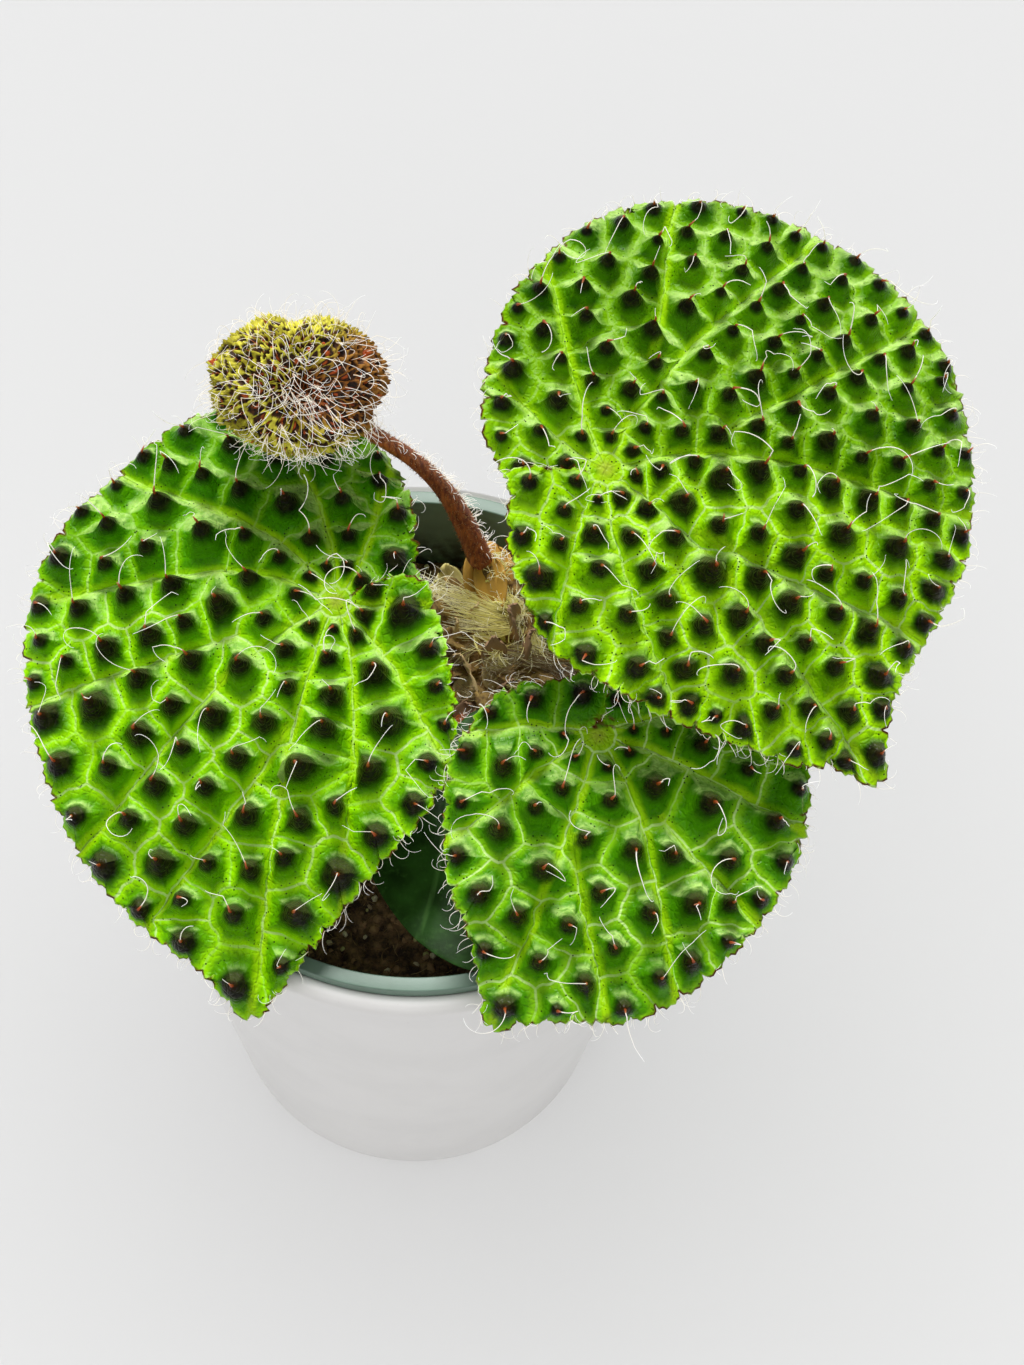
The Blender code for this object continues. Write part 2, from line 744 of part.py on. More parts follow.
def part_angle(angle, other):
    """The angle from one direction to another in degrees, between -180 and 180."""
    return (angle - other + 180) % 360 - 180


def lines_of(leaf, x, y):
    """Directions of the main veins at a place, None where one is absent, and of the slit."""
    share = min(1.0, math.hypot(x, y) / periodic(leaf["outline"], math.degrees(math.atan2(y, x))))
    return [vein_angle(vein, share) for vein in leaf["veins"]] + [leaf["slit"]]


def sides_of(leaf, x, y):
    """Which side of each main vein and of the slit a place lies on: 1, -1, or 0 where it is not beside it."""
    angle = math.degrees(math.atan2(y, x))
    sides = []
    for line in lines_of(leaf, x, y):
        off = 0.0 if line is None else part_angle(angle, line)
        sides.append(0 if line is None or abs(off) > 90 else (1 if off > 0 else -1))
    return sides


def parted(sides_a, sides_b):
    """Which main veins, or the slit, run between two places."""
    return [k for k, (a, b) in enumerate(zip(sides_a, sides_b)) if a * b < 0]


def vein_distance(leaf, x, y):
    """Distance in mm from a place to the nearest main vein."""
    angle, distance = math.degrees(math.atan2(y, x)), math.hypot(x, y)
    lines = [line for line in lines_of(leaf, x, y)[:-1] if line is not None]
    return min(math.radians(abs(part_angle(angle, line))) for line in lines) * distance


def inside(polygon, x, y):
    """Whether a place lies in a polygon."""
    found = False
    for k, a in enumerate(polygon):
        b = polygon[k - 1]
        if (a.y > y) != (b.y > y) and x < (b.x - a.x) * (y - a.y) / (b.y - a.y) + a.x:
            found = not found
    return found


def edge_distance(polygon, x, y):
    """Distance from a place to the nearest corner of a finely divided outline."""
    return min((at.x - x) ** 2 + (at.y - y) ** 2 for at in polygon) ** 0.5


def bump_spacing(leaf, x, y, outline):
    """How far apart bumps stand: small by the stalk and by the edge, large between."""
    least, from_stalk, from_edge = SPACING_SHARES
    centre = smoothstep(0.0, CENTRE_REACH, math.hypot(x, y))
    edge = smoothstep(*EDGE_REACH, edge_distance(outline, x, y))
    return leaf["spacing"] * (least + from_stalk * centre + from_edge * centre * edge)


def scatter(leaf, outline):
    """Middles of the bumps: rows along both sides of each main vein, then a seeded even scatter between."""
    draw = random.Random(leaf["seed"])
    reach = max(r for _, r in leaf["outline"])
    sites = [(0.0, 0.0)]
    ring = PAD_RADIUS * PAD_RING
    sites += [(ring * math.cos(turn), ring * math.sin(turn)) for turn in ring_turns(leaf)]

    def offer(x, y, crowd):
        if not inside(outline, x, y):
            return
        want = bump_spacing(leaf, x, y, outline)
        if any((x - a) ** 2 + (y - b) ** 2 < (crowd * want) ** 2 for a, b in sites):
            return
        if vein_distance(leaf, x, y) < VEIN_CLEARANCE * want:
            return
        if edge_distance(outline, x, y) < EDGE_CLEARANCE * want:
            return
        if slit_distance(leaf, x, y) < SLIT_CLEARANCE * want:
            return
        sites.append((x, y))

    for vein in leaf["veins"]:
        line = vein_line(leaf, vein)
        for side in (-1, 1):
            run = (0.25 if side < 0 else 0.75) * leaf["spacing"]
            while run < len(line) - 2:
                at, ahead = line[int(run)], line[int(run) + 1]
                way = (ahead - at).normalized()
                want = bump_spacing(leaf, at.x, at.y, outline)
                half = 0.5 * want * side
                offer(at.x - way.y * half, at.y + way.x * half, ROW_CROWDING)
                run += want
    for _ in range(SCATTER_TRIES):
        offer(draw.uniform(-reach, reach), draw.uniform(-reach, reach), SCATTER_CROWDING)
    return sites


def vein_line(leaf, vein):
    """Points 1 mm apart on a main vein, from where it starts to the edge."""
    fine = []
    for k in range(201):
        share = k / 200
        angle = vein_angle(vein, share)
        if angle is None:
            continue
        reach = share * periodic(leaf["outline"], angle)
        fine.append(Vector((reach * math.cos(math.radians(angle)), reach * math.sin(math.radians(angle)))))
    found, left = [fine[0]], 1.0
    for a, b in zip(fine, fine[1:]):
        length = (b - a).length
        while left <= length:
            found.append(a.lerp(b, left / length))
            left += 1.0
        left -= length
    return found


def slit_distance(leaf, x, y):
    """Distance in mm from a place to the slit, for places beside it."""
    off = math.radians(part_angle(math.degrees(math.atan2(y, x)), leaf["slit"]))
    return abs(math.sin(off)) * math.hypot(x, y) if abs(off) < 1.2 else math.inf


def ring_turns(leaf):
    """Directions of the small cells round the stalk: one in each strip between the veins that start there."""
    starts = sorted((v[0] - leaf["slit"]) % 360.0 for v in leaf["veins"] if not v[2])
    bounds = [0.0] + starts + [360.0]
    return [math.radians(leaf["slit"] + (a + b) / 2) for a, b in zip(bounds, bounds[1:]) if b - a > 14.0]


def clipped(polygon, normal_x, normal_y, limit):
    """The part of a polygon where x * normal_x + y * normal_y is at most limit.

    A corner is (x, y, whether it lies on the leaf's edge, whether the side after it does).
    """
    kept = []
    for k, (x1, y1, on_edge, edge_follows) in enumerate(polygon):
        x2, y2 = polygon[(k + 1) % len(polygon)][:2]
        d1, d2 = x1 * normal_x + y1 * normal_y - limit, x2 * normal_x + y2 * normal_y - limit
        if d1 <= 0:
            kept.append((x1, y1, on_edge, edge_follows))
        if (d1 < 0 < d2) or (d2 < 0 < d1):
            t = d1 / (d1 - d2)
            kept.append((x1 + t * (x2 - x1), y1 + t * (y2 - y1), edge_follows, edge_follows and d1 > 0))
    return kept


def cell_of(sites, number, outline):
    """The part of the blade nearer to one site than to any other, as a polygon."""
    x, y = sites[number]
    near = sorted(range(len(sites)), key=lambda k: (sites[k][0] - x) ** 2 + (sites[k][1] - y) ** 2)[1:22]
    polygon = [(at.x, at.y, True, True) for at in outline]
    for k in near:
        a, b = sites[k]
        polygon = clipped(polygon, a - x, b - y, ((a * a + b * b) - (x * x + y * y)) / 2)
        if not polygon:
            return []
    return polygon


def relaxed(leaf, sites, outline, rounds=2):
    """Move each site part of the way to its cell's middle, so that the cells grow even."""
    fixed = 1 + len(ring_turns(leaf))
    for _ in range(rounds):
        moved = list(sites[:fixed])
        for number in range(fixed, len(sites)):
            polygon = cell_of(sites, number, outline)
            middle_x = sum(p[0] for p in polygon) / len(polygon)
            middle_y = sum(p[1] for p in polygon) / len(polygon)
            x, y = sites[number]
            new = (x + 0.5 * (middle_x - x), y + 0.5 * (middle_y - y))
            crosses = parted(sides_of(leaf, *new), sides_of(leaf, x, y))
            moved.append((x, y) if crosses or vein_distance(leaf, *new) < RELAX_CLEARANCE else new)
        sites = moved
    return sites


def leaf_cells(leaf, outline):
    """The blade's cells: the sides each lies on, the shared corners, which lie on the edge, and the rings."""
    smooth_edge = edge_points(leaf, OUTLINE_STEP)
    sites = relaxed(leaf, scatter(leaf, smooth_edge), smooth_edge)
    sides = [[0] * (len(leaf["veins"]) + 1)] + [sides_of(leaf, x, y) for x, y in sites[1:]]
    corners, flags, rings = [], [], []
    grid = {}

    def corner(x, y, on_edge):
        cell_x, cell_y = round(x / CORNER_MERGE), round(y / CORNER_MERGE)
        best, best_distance = None, CORNER_MERGE
        for i in (-1, 0, 1):
            for j in (-1, 0, 1):
                for k in grid.get((cell_x + i, cell_y + j), ()):
                    distance = math.hypot(corners[k][0] - x, corners[k][1] - y)
                    if distance < best_distance and (flags[k] == on_edge):
                        best, best_distance = k, distance
        if best is None:
            best = len(corners)
            corners.append([x, y])
            flags.append(on_edge)
            grid.setdefault((cell_x, cell_y), []).append(best)
        return best

    for number in range(len(sites)):
        polygon = cell_of(sites, number, outline)
        exact = [corner(x, y, on_edge) for x, y, on_edge, _ in polygon]
        ring = [k for place, k in enumerate(exact) if k != exact[place - 1]]
        rings.append(ring)
    return sides, corners, flags, rings


def snap_to_veins(leaf, sides, corners, flags, rings):
    """Move each corner that parts two cells across a main vein onto it. Returns the corners on the slit."""
    owners = {}
    for number, ring in enumerate(rings):
        for k in ring:
            owners.setdefault(k, set()).add(number)
    on_slit = set()
    for k, found in owners.items():
        between = {line for a in found for b in found if a < b for line in parted(sides[a], sides[b])}
        x, y = corners[k]
        angle, distance = math.degrees(math.atan2(y, x)), math.hypot(x, y)
        lines = lines_of(leaf, x, y)
        ways = [lines[line] for line in between if lines[line] is not None]
        if not ways or distance < PAD_RADIUS * 1.2:
            continue
        way = min(ways, key=lambda w: abs(part_angle(w, angle)))
        turn = math.radians(part_angle(way, angle))
        if abs(turn) * distance < SNAP_REACH * leaf["spacing"] and not flags[k]:
            to = math.radians(way)
            corners[k] = [distance * math.cos(to), distance * math.sin(to)]
        if way == leaf["slit"]:
            on_slit.add(k)
    return on_slit


def blade_height(leaf, x, y, outline):
    """Height of the blade's veins over its plane: domed, quilted between main veins, sunk at the stalk."""
    dome = -x * x / (2 * leaf["dome"][0]) - y * y / (2 * leaf["dome"][1])
    quilt = QUILT_RISE * (1 - math.exp(-vein_distance(leaf, x, y) / QUILT_REACH))
    quilt *= smoothstep(*QUILT_START, math.hypot(x, y))
    wave = EDGE_WAVE * math.sin(math.atan2(y, x) * EDGE_WAVES + leaf["seed"])
    wave *= 1 - smoothstep(0.0, EDGE_WAVE_REACH, edge_distance(outline, x, y))
    return dome + quilt + wave


def lap_step(leaf, x, y, side):
    """How far a base lobe moves across the slit and rises beside it (mm), so that one lies over the other."""
    across, rise = leaf["lap"]
    off = abs(part_angle(math.degrees(math.atan2(y, x)), leaf["slit"]))
    beside = 1 - smoothstep(0.0, LAP_ANGLE, off)
    near = beside * smoothstep(3.0, 9.0, math.hypot(x, y))
    opening = GAP / 2 * smoothstep(2.0, 4.0, math.hypot(x, y)) * beside
    return side * (opening - across * smoothstep(0.5, 1.0, near)), side * rise * near


def cap_profile(t):
    """Height of a bump as a share of its full height, at a share t of the way from its tip to its foot."""
    steep = (1 - (t / CAP_REACH) ** 2) ** 1.5 if t < CAP_REACH else 0.0
    return CAP_SHARE * steep + (1 - CAP_SHARE) * (1 - t)


class Blade:
    """Places points of one leaf from its flat plan (x, y) and height to the plant's frame."""

    def __init__(self, leaf):
        self.origin = Vector(leaf["junction"])
        self.normal = Vector(leaf["normal"]).normalized()
        tip_way = Vector(leaf["tip_way"])
        self.along = (tip_way - self.normal * tip_way.dot(self.normal)).normalized()
        self.across = self.normal.cross(self.along)

    def place(self, x, y, height):
        return self.origin + x * self.along + y * self.across + height * self.normal


def make_bumpy_blade(name):
    """One bumpy leaf: each cell of the blade rises to a pointed bump, over a toothed outline."""
    leaf = LEAVES[name]
    outline = edge_points(leaf, TOOTH_LENGTH / 2)
    sides, corners, flags, rings = leaf_cells(leaf, outline)
    on_slit = snap_to_veins(leaf, sides, corners, flags, rings)
    blade = Blade(leaf)
    points, depths = [], []
    table = {}
    slit = math.radians(leaf["slit"])

    def lifted(x, y, height, side):
        """A point of the blade, moved with its base lobe. side says which side of the slit it belongs to."""
        across, rise = lap_step(leaf, x, y, side)
        return blade.place(x - across * math.sin(slit), y + across * math.cos(slit), height + rise)

    def add(key, x, y, height, side, depth):
        if key not in table:
            table[key] = len(points)
            points.append(lifted(x, y, height, side))
            depths.append(depth)
        return table[key]

    faces = []
    for number, ring in enumerate(rings):
        if len(ring) < 3:
            continue
        x = sum(corners[k][0] for k in ring) / len(ring)
        y = sum(corners[k][1] for k in ring) / len(ring)
        lobe = sides[number][-1]
        border = []
        for place, k in enumerate(ring):
            at = Vector(corners[k])
            if flags[k]:
                at = toothed(at, outline)
            side = lobe if k in on_slit else sides_of(leaf, at.x, at.y)[-1]
            height = blade_height(leaf, at.x, at.y, outline)
            depth = EDGE_THICKNESS if flags[k] else BLADE_THICKNESS
            border.append((add((k, side), at.x, at.y, height, side, depth), at, height))
        if number == 0:
            x, y = 0.0, 0.0
        mean = sum((at - Vector((x, y))).length for _, at, _ in border) / len(border)
        floor_height = sum(height for _, _, height in border) / len(border)
        rise = 0.0 if number == 0 else BUMP_RISE * 2 * mean * bump_share(leaf, x, y, outline)
        top = add(("tip", number), x, y, floor_height + rise, lobe, BLADE_THICKNESS)
        if number == 0:
            loop = [b[0] for b in border]
            faces += [(loop[k], loop[(k + 1) % len(loop)], top) for k in range(len(loop))]
            continue
        start = math.atan2(border[0][1].y - y, border[0][1].x - x)
        inner = []
        for side in range(RING_SIDES):
            angle = start + 2 * math.pi * side / RING_SIDES
            px, py = x + RING_AT * mean * math.cos(angle), y + RING_AT * mean * math.sin(angle)
            height = floor_height + rise * cap_profile(RING_AT)
            inner.append((add(("ring", number, side), px, py, height, lobe, BLADE_THICKNESS), angle))
        faces += [(inner[k][0], inner[(k + 1) % RING_SIDES][0], top) for k in range(RING_SIDES)]
        faces += bridge(border, inner, x, y)
    return closed_blade(name, points, depths, faces, blade.normal, "leaf_green")


def toothed(at, outline):
    """A point of the outline moved out or in, so that the edge is toothed."""
    nearest = min(range(len(outline)), key=lambda k: (outline[k] - at).length)
    before, after = outline[nearest - 1], outline[(nearest + 1) % len(outline)]
    way = (after - before).normalized()
    out = Vector((way.y, -way.x))
    share = min(1.0, (outline[nearest] - at).length / (TOOTH_LENGTH / 2))
    swing = 1 if nearest % 2 else -1
    return at + out * (TOOTH_HEIGHT / 2 * swing * (1 - 2 * share))


def bump_share(leaf, x, y, outline):
    """Bumps are lower close to the stalk and to the edge."""
    return (0.55 + 0.45 * smoothstep(4.0, 20.0, math.hypot(x, y))) * (
        0.6 + 0.4 * smoothstep(1.5, 8.0, edge_distance(outline, x, y))
    )


def bridge(border, inner, x, y):
    """Triangles between a cell's border and the ring inside it, matched by direction from its middle."""
    outer = []
    last = None
    for index, at, _ in border:
        angle = math.atan2(at.y - y, at.x - x)
        if last is not None:
            while angle < last - 1e-9:
                angle += 2 * math.pi
        outer.append((index, angle))
        last = angle
    faces = []
    i, j = 0, 0
    total_outer, total_inner = len(outer), len(inner)

    def outer_angle(k):
        return outer[k % total_outer][1] + 2 * math.pi * (k // total_outer)

    def inner_angle(k):
        return inner[k % total_inner][1] + 2 * math.pi * (k // total_inner)

    while i < total_outer or j < total_inner:
        outer_here, inner_here = outer[i % total_outer][0], inner[j % total_inner][0]
        outer_next, inner_next = outer[(i + 1) % total_outer][0], inner[(j + 1) % total_inner][0]
        if j >= total_inner or (i < total_outer and outer_angle(i + 1) <= inner_angle(j + 1)):
            faces.append((outer_here, outer_next, inner_here))
            i += 1
        else:
            faces.append((inner_here, outer_here, inner_next))
            j += 1
    return faces


def closed_blade(name, points, depths, faces, normal, finish_name):
    """Close a blade: the same triangles on both faces, with a wall round every open edge."""
    count = len(points)
    lower = [at - normal * depth for at, depth in zip(points, depths)]
    used = {}
    for face in faces:
        for k, a in enumerate(face):
            used[(a, face[(k + 1) % len(face)])] = True
    walls = [(b, a, count + a, count + b) for a, b in used if (b, a) not in used]
    under = [tuple(count + k for k in reversed(face)) for face in faces]
    piece = solid(name, points + lower, faces + under + walls, finish_name, 50.0)
    face_out(piece)
    return piece


def make_smooth_blade():
    """The smooth leaf: rings that follow its outline, gently cupped."""
    leaf = SMOOTH_LEAF
    blade = Blade(leaf)
    spokes = SMOOTH_SPOKES
    points = [blade.place(0, 0, 0)]
    for share in SMOOTH_RINGS:
        for spoke in range(spokes):
            angle = 360.0 * spoke / spokes
            reach = periodic(leaf["outline"], angle) * share
            x, y = reach * math.cos(math.radians(angle)), reach * math.sin(math.radians(angle))
            dome = -x * x / (2 * leaf["dome"][0]) - y * y / (2 * leaf["dome"][1])
            wave = SMOOTH_WAVE * math.sin(math.radians(angle) * SMOOTH_WAVES + 1) * share * share
            points.append(blade.place(x, y, dome + wave))
    faces = []
    for spoke in range(spokes):
        after = (spoke + 1) % spokes
        faces.append((0, 1 + spoke, 1 + after))
        for ring in range(len(SMOOTH_RINGS) - 1):
            low, high = 1 + ring * spokes, 1 + (ring + 1) * spokes
            faces.append((low + spoke, high + spoke, high + after))
            faces.append((low + spoke, high + after, low + after))
    depths = [EDGE_THICKNESS] * len(points)
    return closed_blade("blade_smooth", points, depths, faces, blade.normal, "leaf_dark")


def furled_radius(direction):
    """Distance of the furled leaf's surface from its middle, before its bumps: an oval with a dish."""
    x, y, z = (c / r for c, r in zip(direction, FURLED_RADII))
    oval = 1 / math.sqrt(x * x + y * y + z * z)
    mouth = Vector(FURLED_MOUTH).normalized()
    facing = direction.dot(mouth)
    dish = FURLED_DISH * smoothstep(*FURLED_DISH_REACH, facing)
    along_fold = direction.dot(Vector(FURLED_FOLD_WAY).normalized())
    fold = FURLED_FOLD * math.exp(-((along_fold - 0.55) / 0.16) ** 2)
    lump = FURLED_LUMP * noise.noise(direction * 2.3)
    return oval * (1 - dish - fold + lump)


def make_furled_leaf():
    """The folded young leaf, crowded with small pointed bumps."""
    grower = bmesh.new()
    bmesh.ops.create_icosphere(grower, subdivisions=FURLED_DETAIL, radius=1.0)
    tips = sphere_corners(FURLED_DETAIL - 1)
    points, faces = [], []
    for corner in grower.verts:
        direction = corner.co.normalized()
        is_tip = tuple(round(c, 5) for c in corner.co) in tips
        bump = FURLED_BUMP * (FURLED_TIP_SHARE if is_tip else FURLED_TIP_SHARE - 1)
        points.append(Vector(FURLED_AT) + direction * (furled_radius(direction) + bump))
    for face in grower.faces:
        faces.append(tuple(v.index for v in face.verts))
    grower.free()
    piece = solid("furled_leaf", points, faces, "furled_olive", 30.0)
    face_out(piece)
    path, radii = (numbers[-4:] for numbers in split_stalk("petiole_furled")[1][:2])
    path.append(path[-1] + (path[-1] - path[-2]).normalized() * GAP)
    clear = [radius + 1.5 * GAP for radius in radii + radii[-1:]]
    boolean(piece, tube("cutter", path, clear, "furled_olive", sides=2 * STALK_SIDES), "DIFFERENCE")
    return piece


def sphere_corners(detail):
    """Corners of an icosphere of a given detail, rounded so that they can be compared."""
    grower = bmesh.new()
    bmesh.ops.create_icosphere(grower, subdivisions=detail, radius=1.0)
    found = {tuple(round(c, 5) for c in corner.co) for corner in grower.verts}
    grower.free()
    return found


def main():
    """Build every piece of the potted plant."""
    clear_scene()
    make_outer_pot()
    make_liner()
    make_soil()
    make_crown()
    make_stalks()
    for name in LEAVES:
        make_bumpy_blade(name)
    make_smooth_blade()
    make_furled_leaf()


main()
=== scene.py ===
"""Potted begonia with bumpy leaves: the finished surfaces of its pot, soil, stalks, leaves and hairs.

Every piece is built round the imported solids. Lengths in the helpers are in millimetres, and each finished
mesh is in metres. The plant is seen from -Y, and +X is to its right.
"""

import json
import math
import random

import bmesh
import bpy
import numpy as np
from mathutils import Matrix, Vector, kdtree, noise

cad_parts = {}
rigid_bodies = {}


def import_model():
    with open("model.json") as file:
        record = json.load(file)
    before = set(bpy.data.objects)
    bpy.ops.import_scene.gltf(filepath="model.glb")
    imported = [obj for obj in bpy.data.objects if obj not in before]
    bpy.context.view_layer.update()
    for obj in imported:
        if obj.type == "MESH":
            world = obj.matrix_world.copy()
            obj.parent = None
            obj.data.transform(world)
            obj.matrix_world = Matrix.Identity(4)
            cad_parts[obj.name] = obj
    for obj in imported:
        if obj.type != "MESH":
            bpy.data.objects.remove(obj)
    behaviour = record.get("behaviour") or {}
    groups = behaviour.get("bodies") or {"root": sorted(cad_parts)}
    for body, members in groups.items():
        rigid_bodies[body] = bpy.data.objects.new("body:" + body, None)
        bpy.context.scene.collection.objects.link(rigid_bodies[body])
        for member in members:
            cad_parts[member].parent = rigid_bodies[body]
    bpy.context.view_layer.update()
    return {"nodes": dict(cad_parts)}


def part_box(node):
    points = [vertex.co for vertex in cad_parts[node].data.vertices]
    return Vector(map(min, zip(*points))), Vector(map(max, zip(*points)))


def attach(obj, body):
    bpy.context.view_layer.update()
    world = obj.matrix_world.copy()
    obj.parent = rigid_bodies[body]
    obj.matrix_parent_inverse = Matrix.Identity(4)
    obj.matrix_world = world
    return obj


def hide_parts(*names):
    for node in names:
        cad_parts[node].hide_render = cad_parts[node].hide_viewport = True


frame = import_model()

bl_info = {
    "name": "Potted bumpy begonia",
    "version": (1, 0, 0),
    "blender": (4, 5, 0),
    "location": "View3D > Sidebar > Begonia",
    "description": "Builds the pot, soil, stalks, hairy crown and bumpy leaves of a potted begonia",
    "category": "Object",
}

MM = 0.001

# The solids' own measures, in millimetres
POT_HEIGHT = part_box("outer_pot")[1].z / MM
POT_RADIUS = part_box("outer_pot")[1].x / MM
LINER_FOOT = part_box("nursery_liner")[0].z / MM
LINER_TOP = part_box("nursery_liner")[1].z / MM
LINER_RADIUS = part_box("nursery_liner")[1].x / MM
SOIL_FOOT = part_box("soil")[0].z / MM

# Walls and lips, which a box doesn't give
POT_BASE_RADIUS = 47.0
POT_BASE_FILLET = 3.6
POT_RECESS_RADIUS = 37.0
POT_RECESS = 0.9
POT_WALL = 4.3
POT_FLOOR = 5.0
POT_LIP_DEPTH = 7.0
LINER_LIP_WIDTH = 2.2
LINER_LIP_DEPTH = 4.0
LINER_LIP_LAP = 1.1
LINER_WALL = 1.2
LINER_BASE_RADIUS = 41.5
SOIL_LEVEL = 135.0
SOIL_RADIUS = 52.6
CROWN_MIDDLE = Vector((14.0, 28.0, 141.0))
CROWN_RADIUS = 11.0

# Bumpy leaves: where the stalk meets the leaf, its normal and the way to its tip. veins hold the angle at
# the stalk, the angle at the edge and the share of the reach where a fork leaves its parent.
BUMPY_LEAVES = {
    "blade_left": {
        "piece": "leaf_left",
        "junction": (-17.5, 11.2, 188.0),
        "normal": (-0.034, -0.174, 0.984),
        "tip_way": (-0.134, -0.975, -0.177),
        "veins": [
            (-11, 0, 0.0), (-8, -19, 0.35), (-52, -35, 0.0), (-60, -62, 0.3), (-114, -81, 0.0),
            (-140, -112, 0.0), (-172, -150, 0.0), (150, 172, 0.0), (88, 98, 0.0), (62, 46, 0.0),
            (36, 13, 0.0),
        ],
        "seed": 3,
    },
    "blade_right": {
        "piece": "leaf_right",
        "junction": (34.6, 28.5, 218.0),
        "normal": (0.051, -0.242, 0.969),
        "tip_way": (0.735, -0.648, -0.2),
        "veins": [
            (14, 0, 0.0), (12, 22, 0.3), (67, 44, 0.0), (68, 76, 0.3), (113, 97, 0.0), (114, 122, 0.35),
            (160, 150, 0.0), (-158, -176, 0.0), (-76, -60, 0.0), (-45, -26, 0.0),
        ],
        "seed": 8,
    },
    "blade_front": {
        "piece": "leaf_front",
        "junction": (37.2, -13.7, 186.0),
        "normal": (0.034, -0.259, 0.965),
        "tip_way": (-0.277, -0.931, -0.24),
        "veins": [
            (5, 0, 0.0), (6, 22, 0.35), (57, 37, 0.0), (57, 61, 0.4), (98, 86, 0.0), (135, 118, 0.0),
            (-90, -72, 0.0), (-44, -34, 0.0),
        ],
        "seed": 5,
    },
}
BUMP_SIDES = 5
BLADE_DEPTHS = (1.2, 0.8)

# A bump: its rings as shares of the way from its tip to its foot, its cap's share of its height and reach,
# how far it leans away from the stalk, and the small point on it
RINGS = (0.04, 0.09, 0.15, 0.23, 0.32, 0.42, 0.52, 0.62, 0.71, 0.8, 0.88, 0.95)
LOWER_RINGS = (0.3, 0.66)
CAP_SHARE = 0.72
CAP_REACH = 0.66
LEAN = 0.16
NIPPLE = 0.16

# A bumpy leaf: the grooves on its main veins, the width of its teeth, its dome's radius, and the usual rise
# of a bump over its foot
VEIN_DEPTH = 0.8
VEIN_REACH = 1.1
TOOTH_WIDTH = 2.1
DOME_RADIUS = 200.0
BUMP_RISE = 1.6

# The smooth leaf's stalk end and the directions of its veins in the pot's frame, in degrees from +X
SMOOTH_JUNCTION = Vector((9.0, -2.0, 152.5))
SMOOTH_VEINS = (-78, -60, -98, -38, -122, -5, -160, 60, 130)

# Locks of hair on the crown: root, bend and tip in millimetres, the width, the number of hairs and the tint
CROWN_LOCKS = (
    ((17.0, 31.0, 152.0), (6.0, 33.5, 154.0), (-2.0, 38.5, 150.0), 3.6, 90, 0.15),
    ((18.0, 29.0, 152.0), (9.0, 28.5, 154.5), (0.5, 33.5, 150.0), 3.4, 90, 0.0),
    ((20.0, 28.5, 151.5), (12.0, 24.5, 153.5), (4.0, 29.0, 149.5), 3.0, 80, 0.3),
    ((15.0, 35.0, 151.0), (20.5, 33.0, 155.0), (21.0, 26.0, 150.5), 3.2, 70, 0.1),
    ((15.0, 23.0, 149.0), (22.0, 23.5, 150.5), (34.0, 20.5, 146.5), 3.4, 110, 0.85),
    ((12.0, 24.0, 149.0), (7.0, 22.0, 150.0), (3.0, 17.0, 146.0), 3.0, 40, 0.8),
)

# Bracts that the photograph shows one by one: root and tip in millimetres, and the tint
SHOWN_BRACTS = (
    ((17.5, 34.0, 147.5), (12.5, 44.0, 158.0), 0.1),
    ((11.5, 34.5, 147.5), (10.5, 43.0, 158.5), 0.15),
    ((14.5, 32.5, 150.0), (12.0, 40.5, 159.5), 0.05),
    ((13.0, 33.5, 150.5), (23.5, 25.0, 150.0), 0.9),
    ((16.0, 36.0, 150.0), (22.5, 33.5, 151.5), 0.95),
    ((10.5, 26.0, 150.0), (17.5, 21.0, 148.5), 0.3),
    ((14.0, 21.5, 149.0), (15.5, 14.5, 147.0), 0.7),
    ((6.5, 24.5, 149.0), (4.0, 15.5, 146.0), 0.5),
    ((9.5, 18.5, 147.0), (9.0, 7.5, 143.5), 0.7),
    ((4.5, 28.5, 148.5), (1.0, 19.5, 145.5), 0.55),
    ((12.5, 13.5, 145.5), (7.5, 6.5, 143.0), 0.5),
)

# The furled leaf: its middle, its half sizes, the ways that its hollow side, heart, fold, lobe and hairs
# face, and the number of its cells
FURLED_AT = Vector((-27.6, 46.2, 212.6))
FURLED_RADII = (17.6, 13.9, 13.9)
FURLED_MOUTH = Vector((0.12, -0.7, 0.7)).normalized()
FURLED_HEART = Vector((0.36, -0.66, 0.66)).normalized()
FURLED_FOLD = Vector((0.75, 0.5, 0.45)).normalized()
FURLED_LOBE = Vector((0.95, -0.1, 0.3)).normalized()
FURLED_FLOW = Vector((0.75, -0.5, -0.3)).normalized()
FURLED_CELLS = 520

# Shares and turns that spread things evenly
GOLDEN = 0.618034
GOLDEN_TURN = math.pi * (3 - math.sqrt(5))

# The photograph's viewpoint, in millimetres
TO_CAMERA = (0.0, -0.37, 0.93)
CAMERA_AT = (19.365, -248.867, 657.934)
CAMERA_RIGHT = (0.99737, 0.06431, 0.03345)
CAMERA_UP = (-0.07249, 0.88484, 0.46022)
CAMERA_LENS = 70.0


def colour(code):
    """An sRGB hex value as linear red, green, blue and alpha."""
    parts = [int(code[k : k + 2], 16) / 255 for k in (1, 3, 5)]
    linear = [c / 12.92 if c <= 0.04045 else ((c + 0.055) / 1.055) ** 2.4 for c in parts]
    return (*linear, 1.0)


def hue_property(name, description, code):
    """A colour that a user can change."""
    return bpy.props.FloatVectorProperty(
        name=name, description=description, subtype="COLOR", size=4, min=0.0, max=1.0, default=colour(code)
    )


def length_property(name, description, millimetres):
    """A length that a user can change."""
    return bpy.props.FloatProperty(
        name=name, description=description, default=millimetres * MM, unit="LENGTH", min=0.0
    )


def count_property(name, description, default, least=0):
    """A number of things that a user can change."""
    return bpy.props.IntProperty(name=name, description=description, default=default, min=least)


def light_property(name, description, strength):
    """A lamp's strength that a user can change."""
    return bpy.props.FloatProperty(name=name, description=description, default=strength, min=0.0)


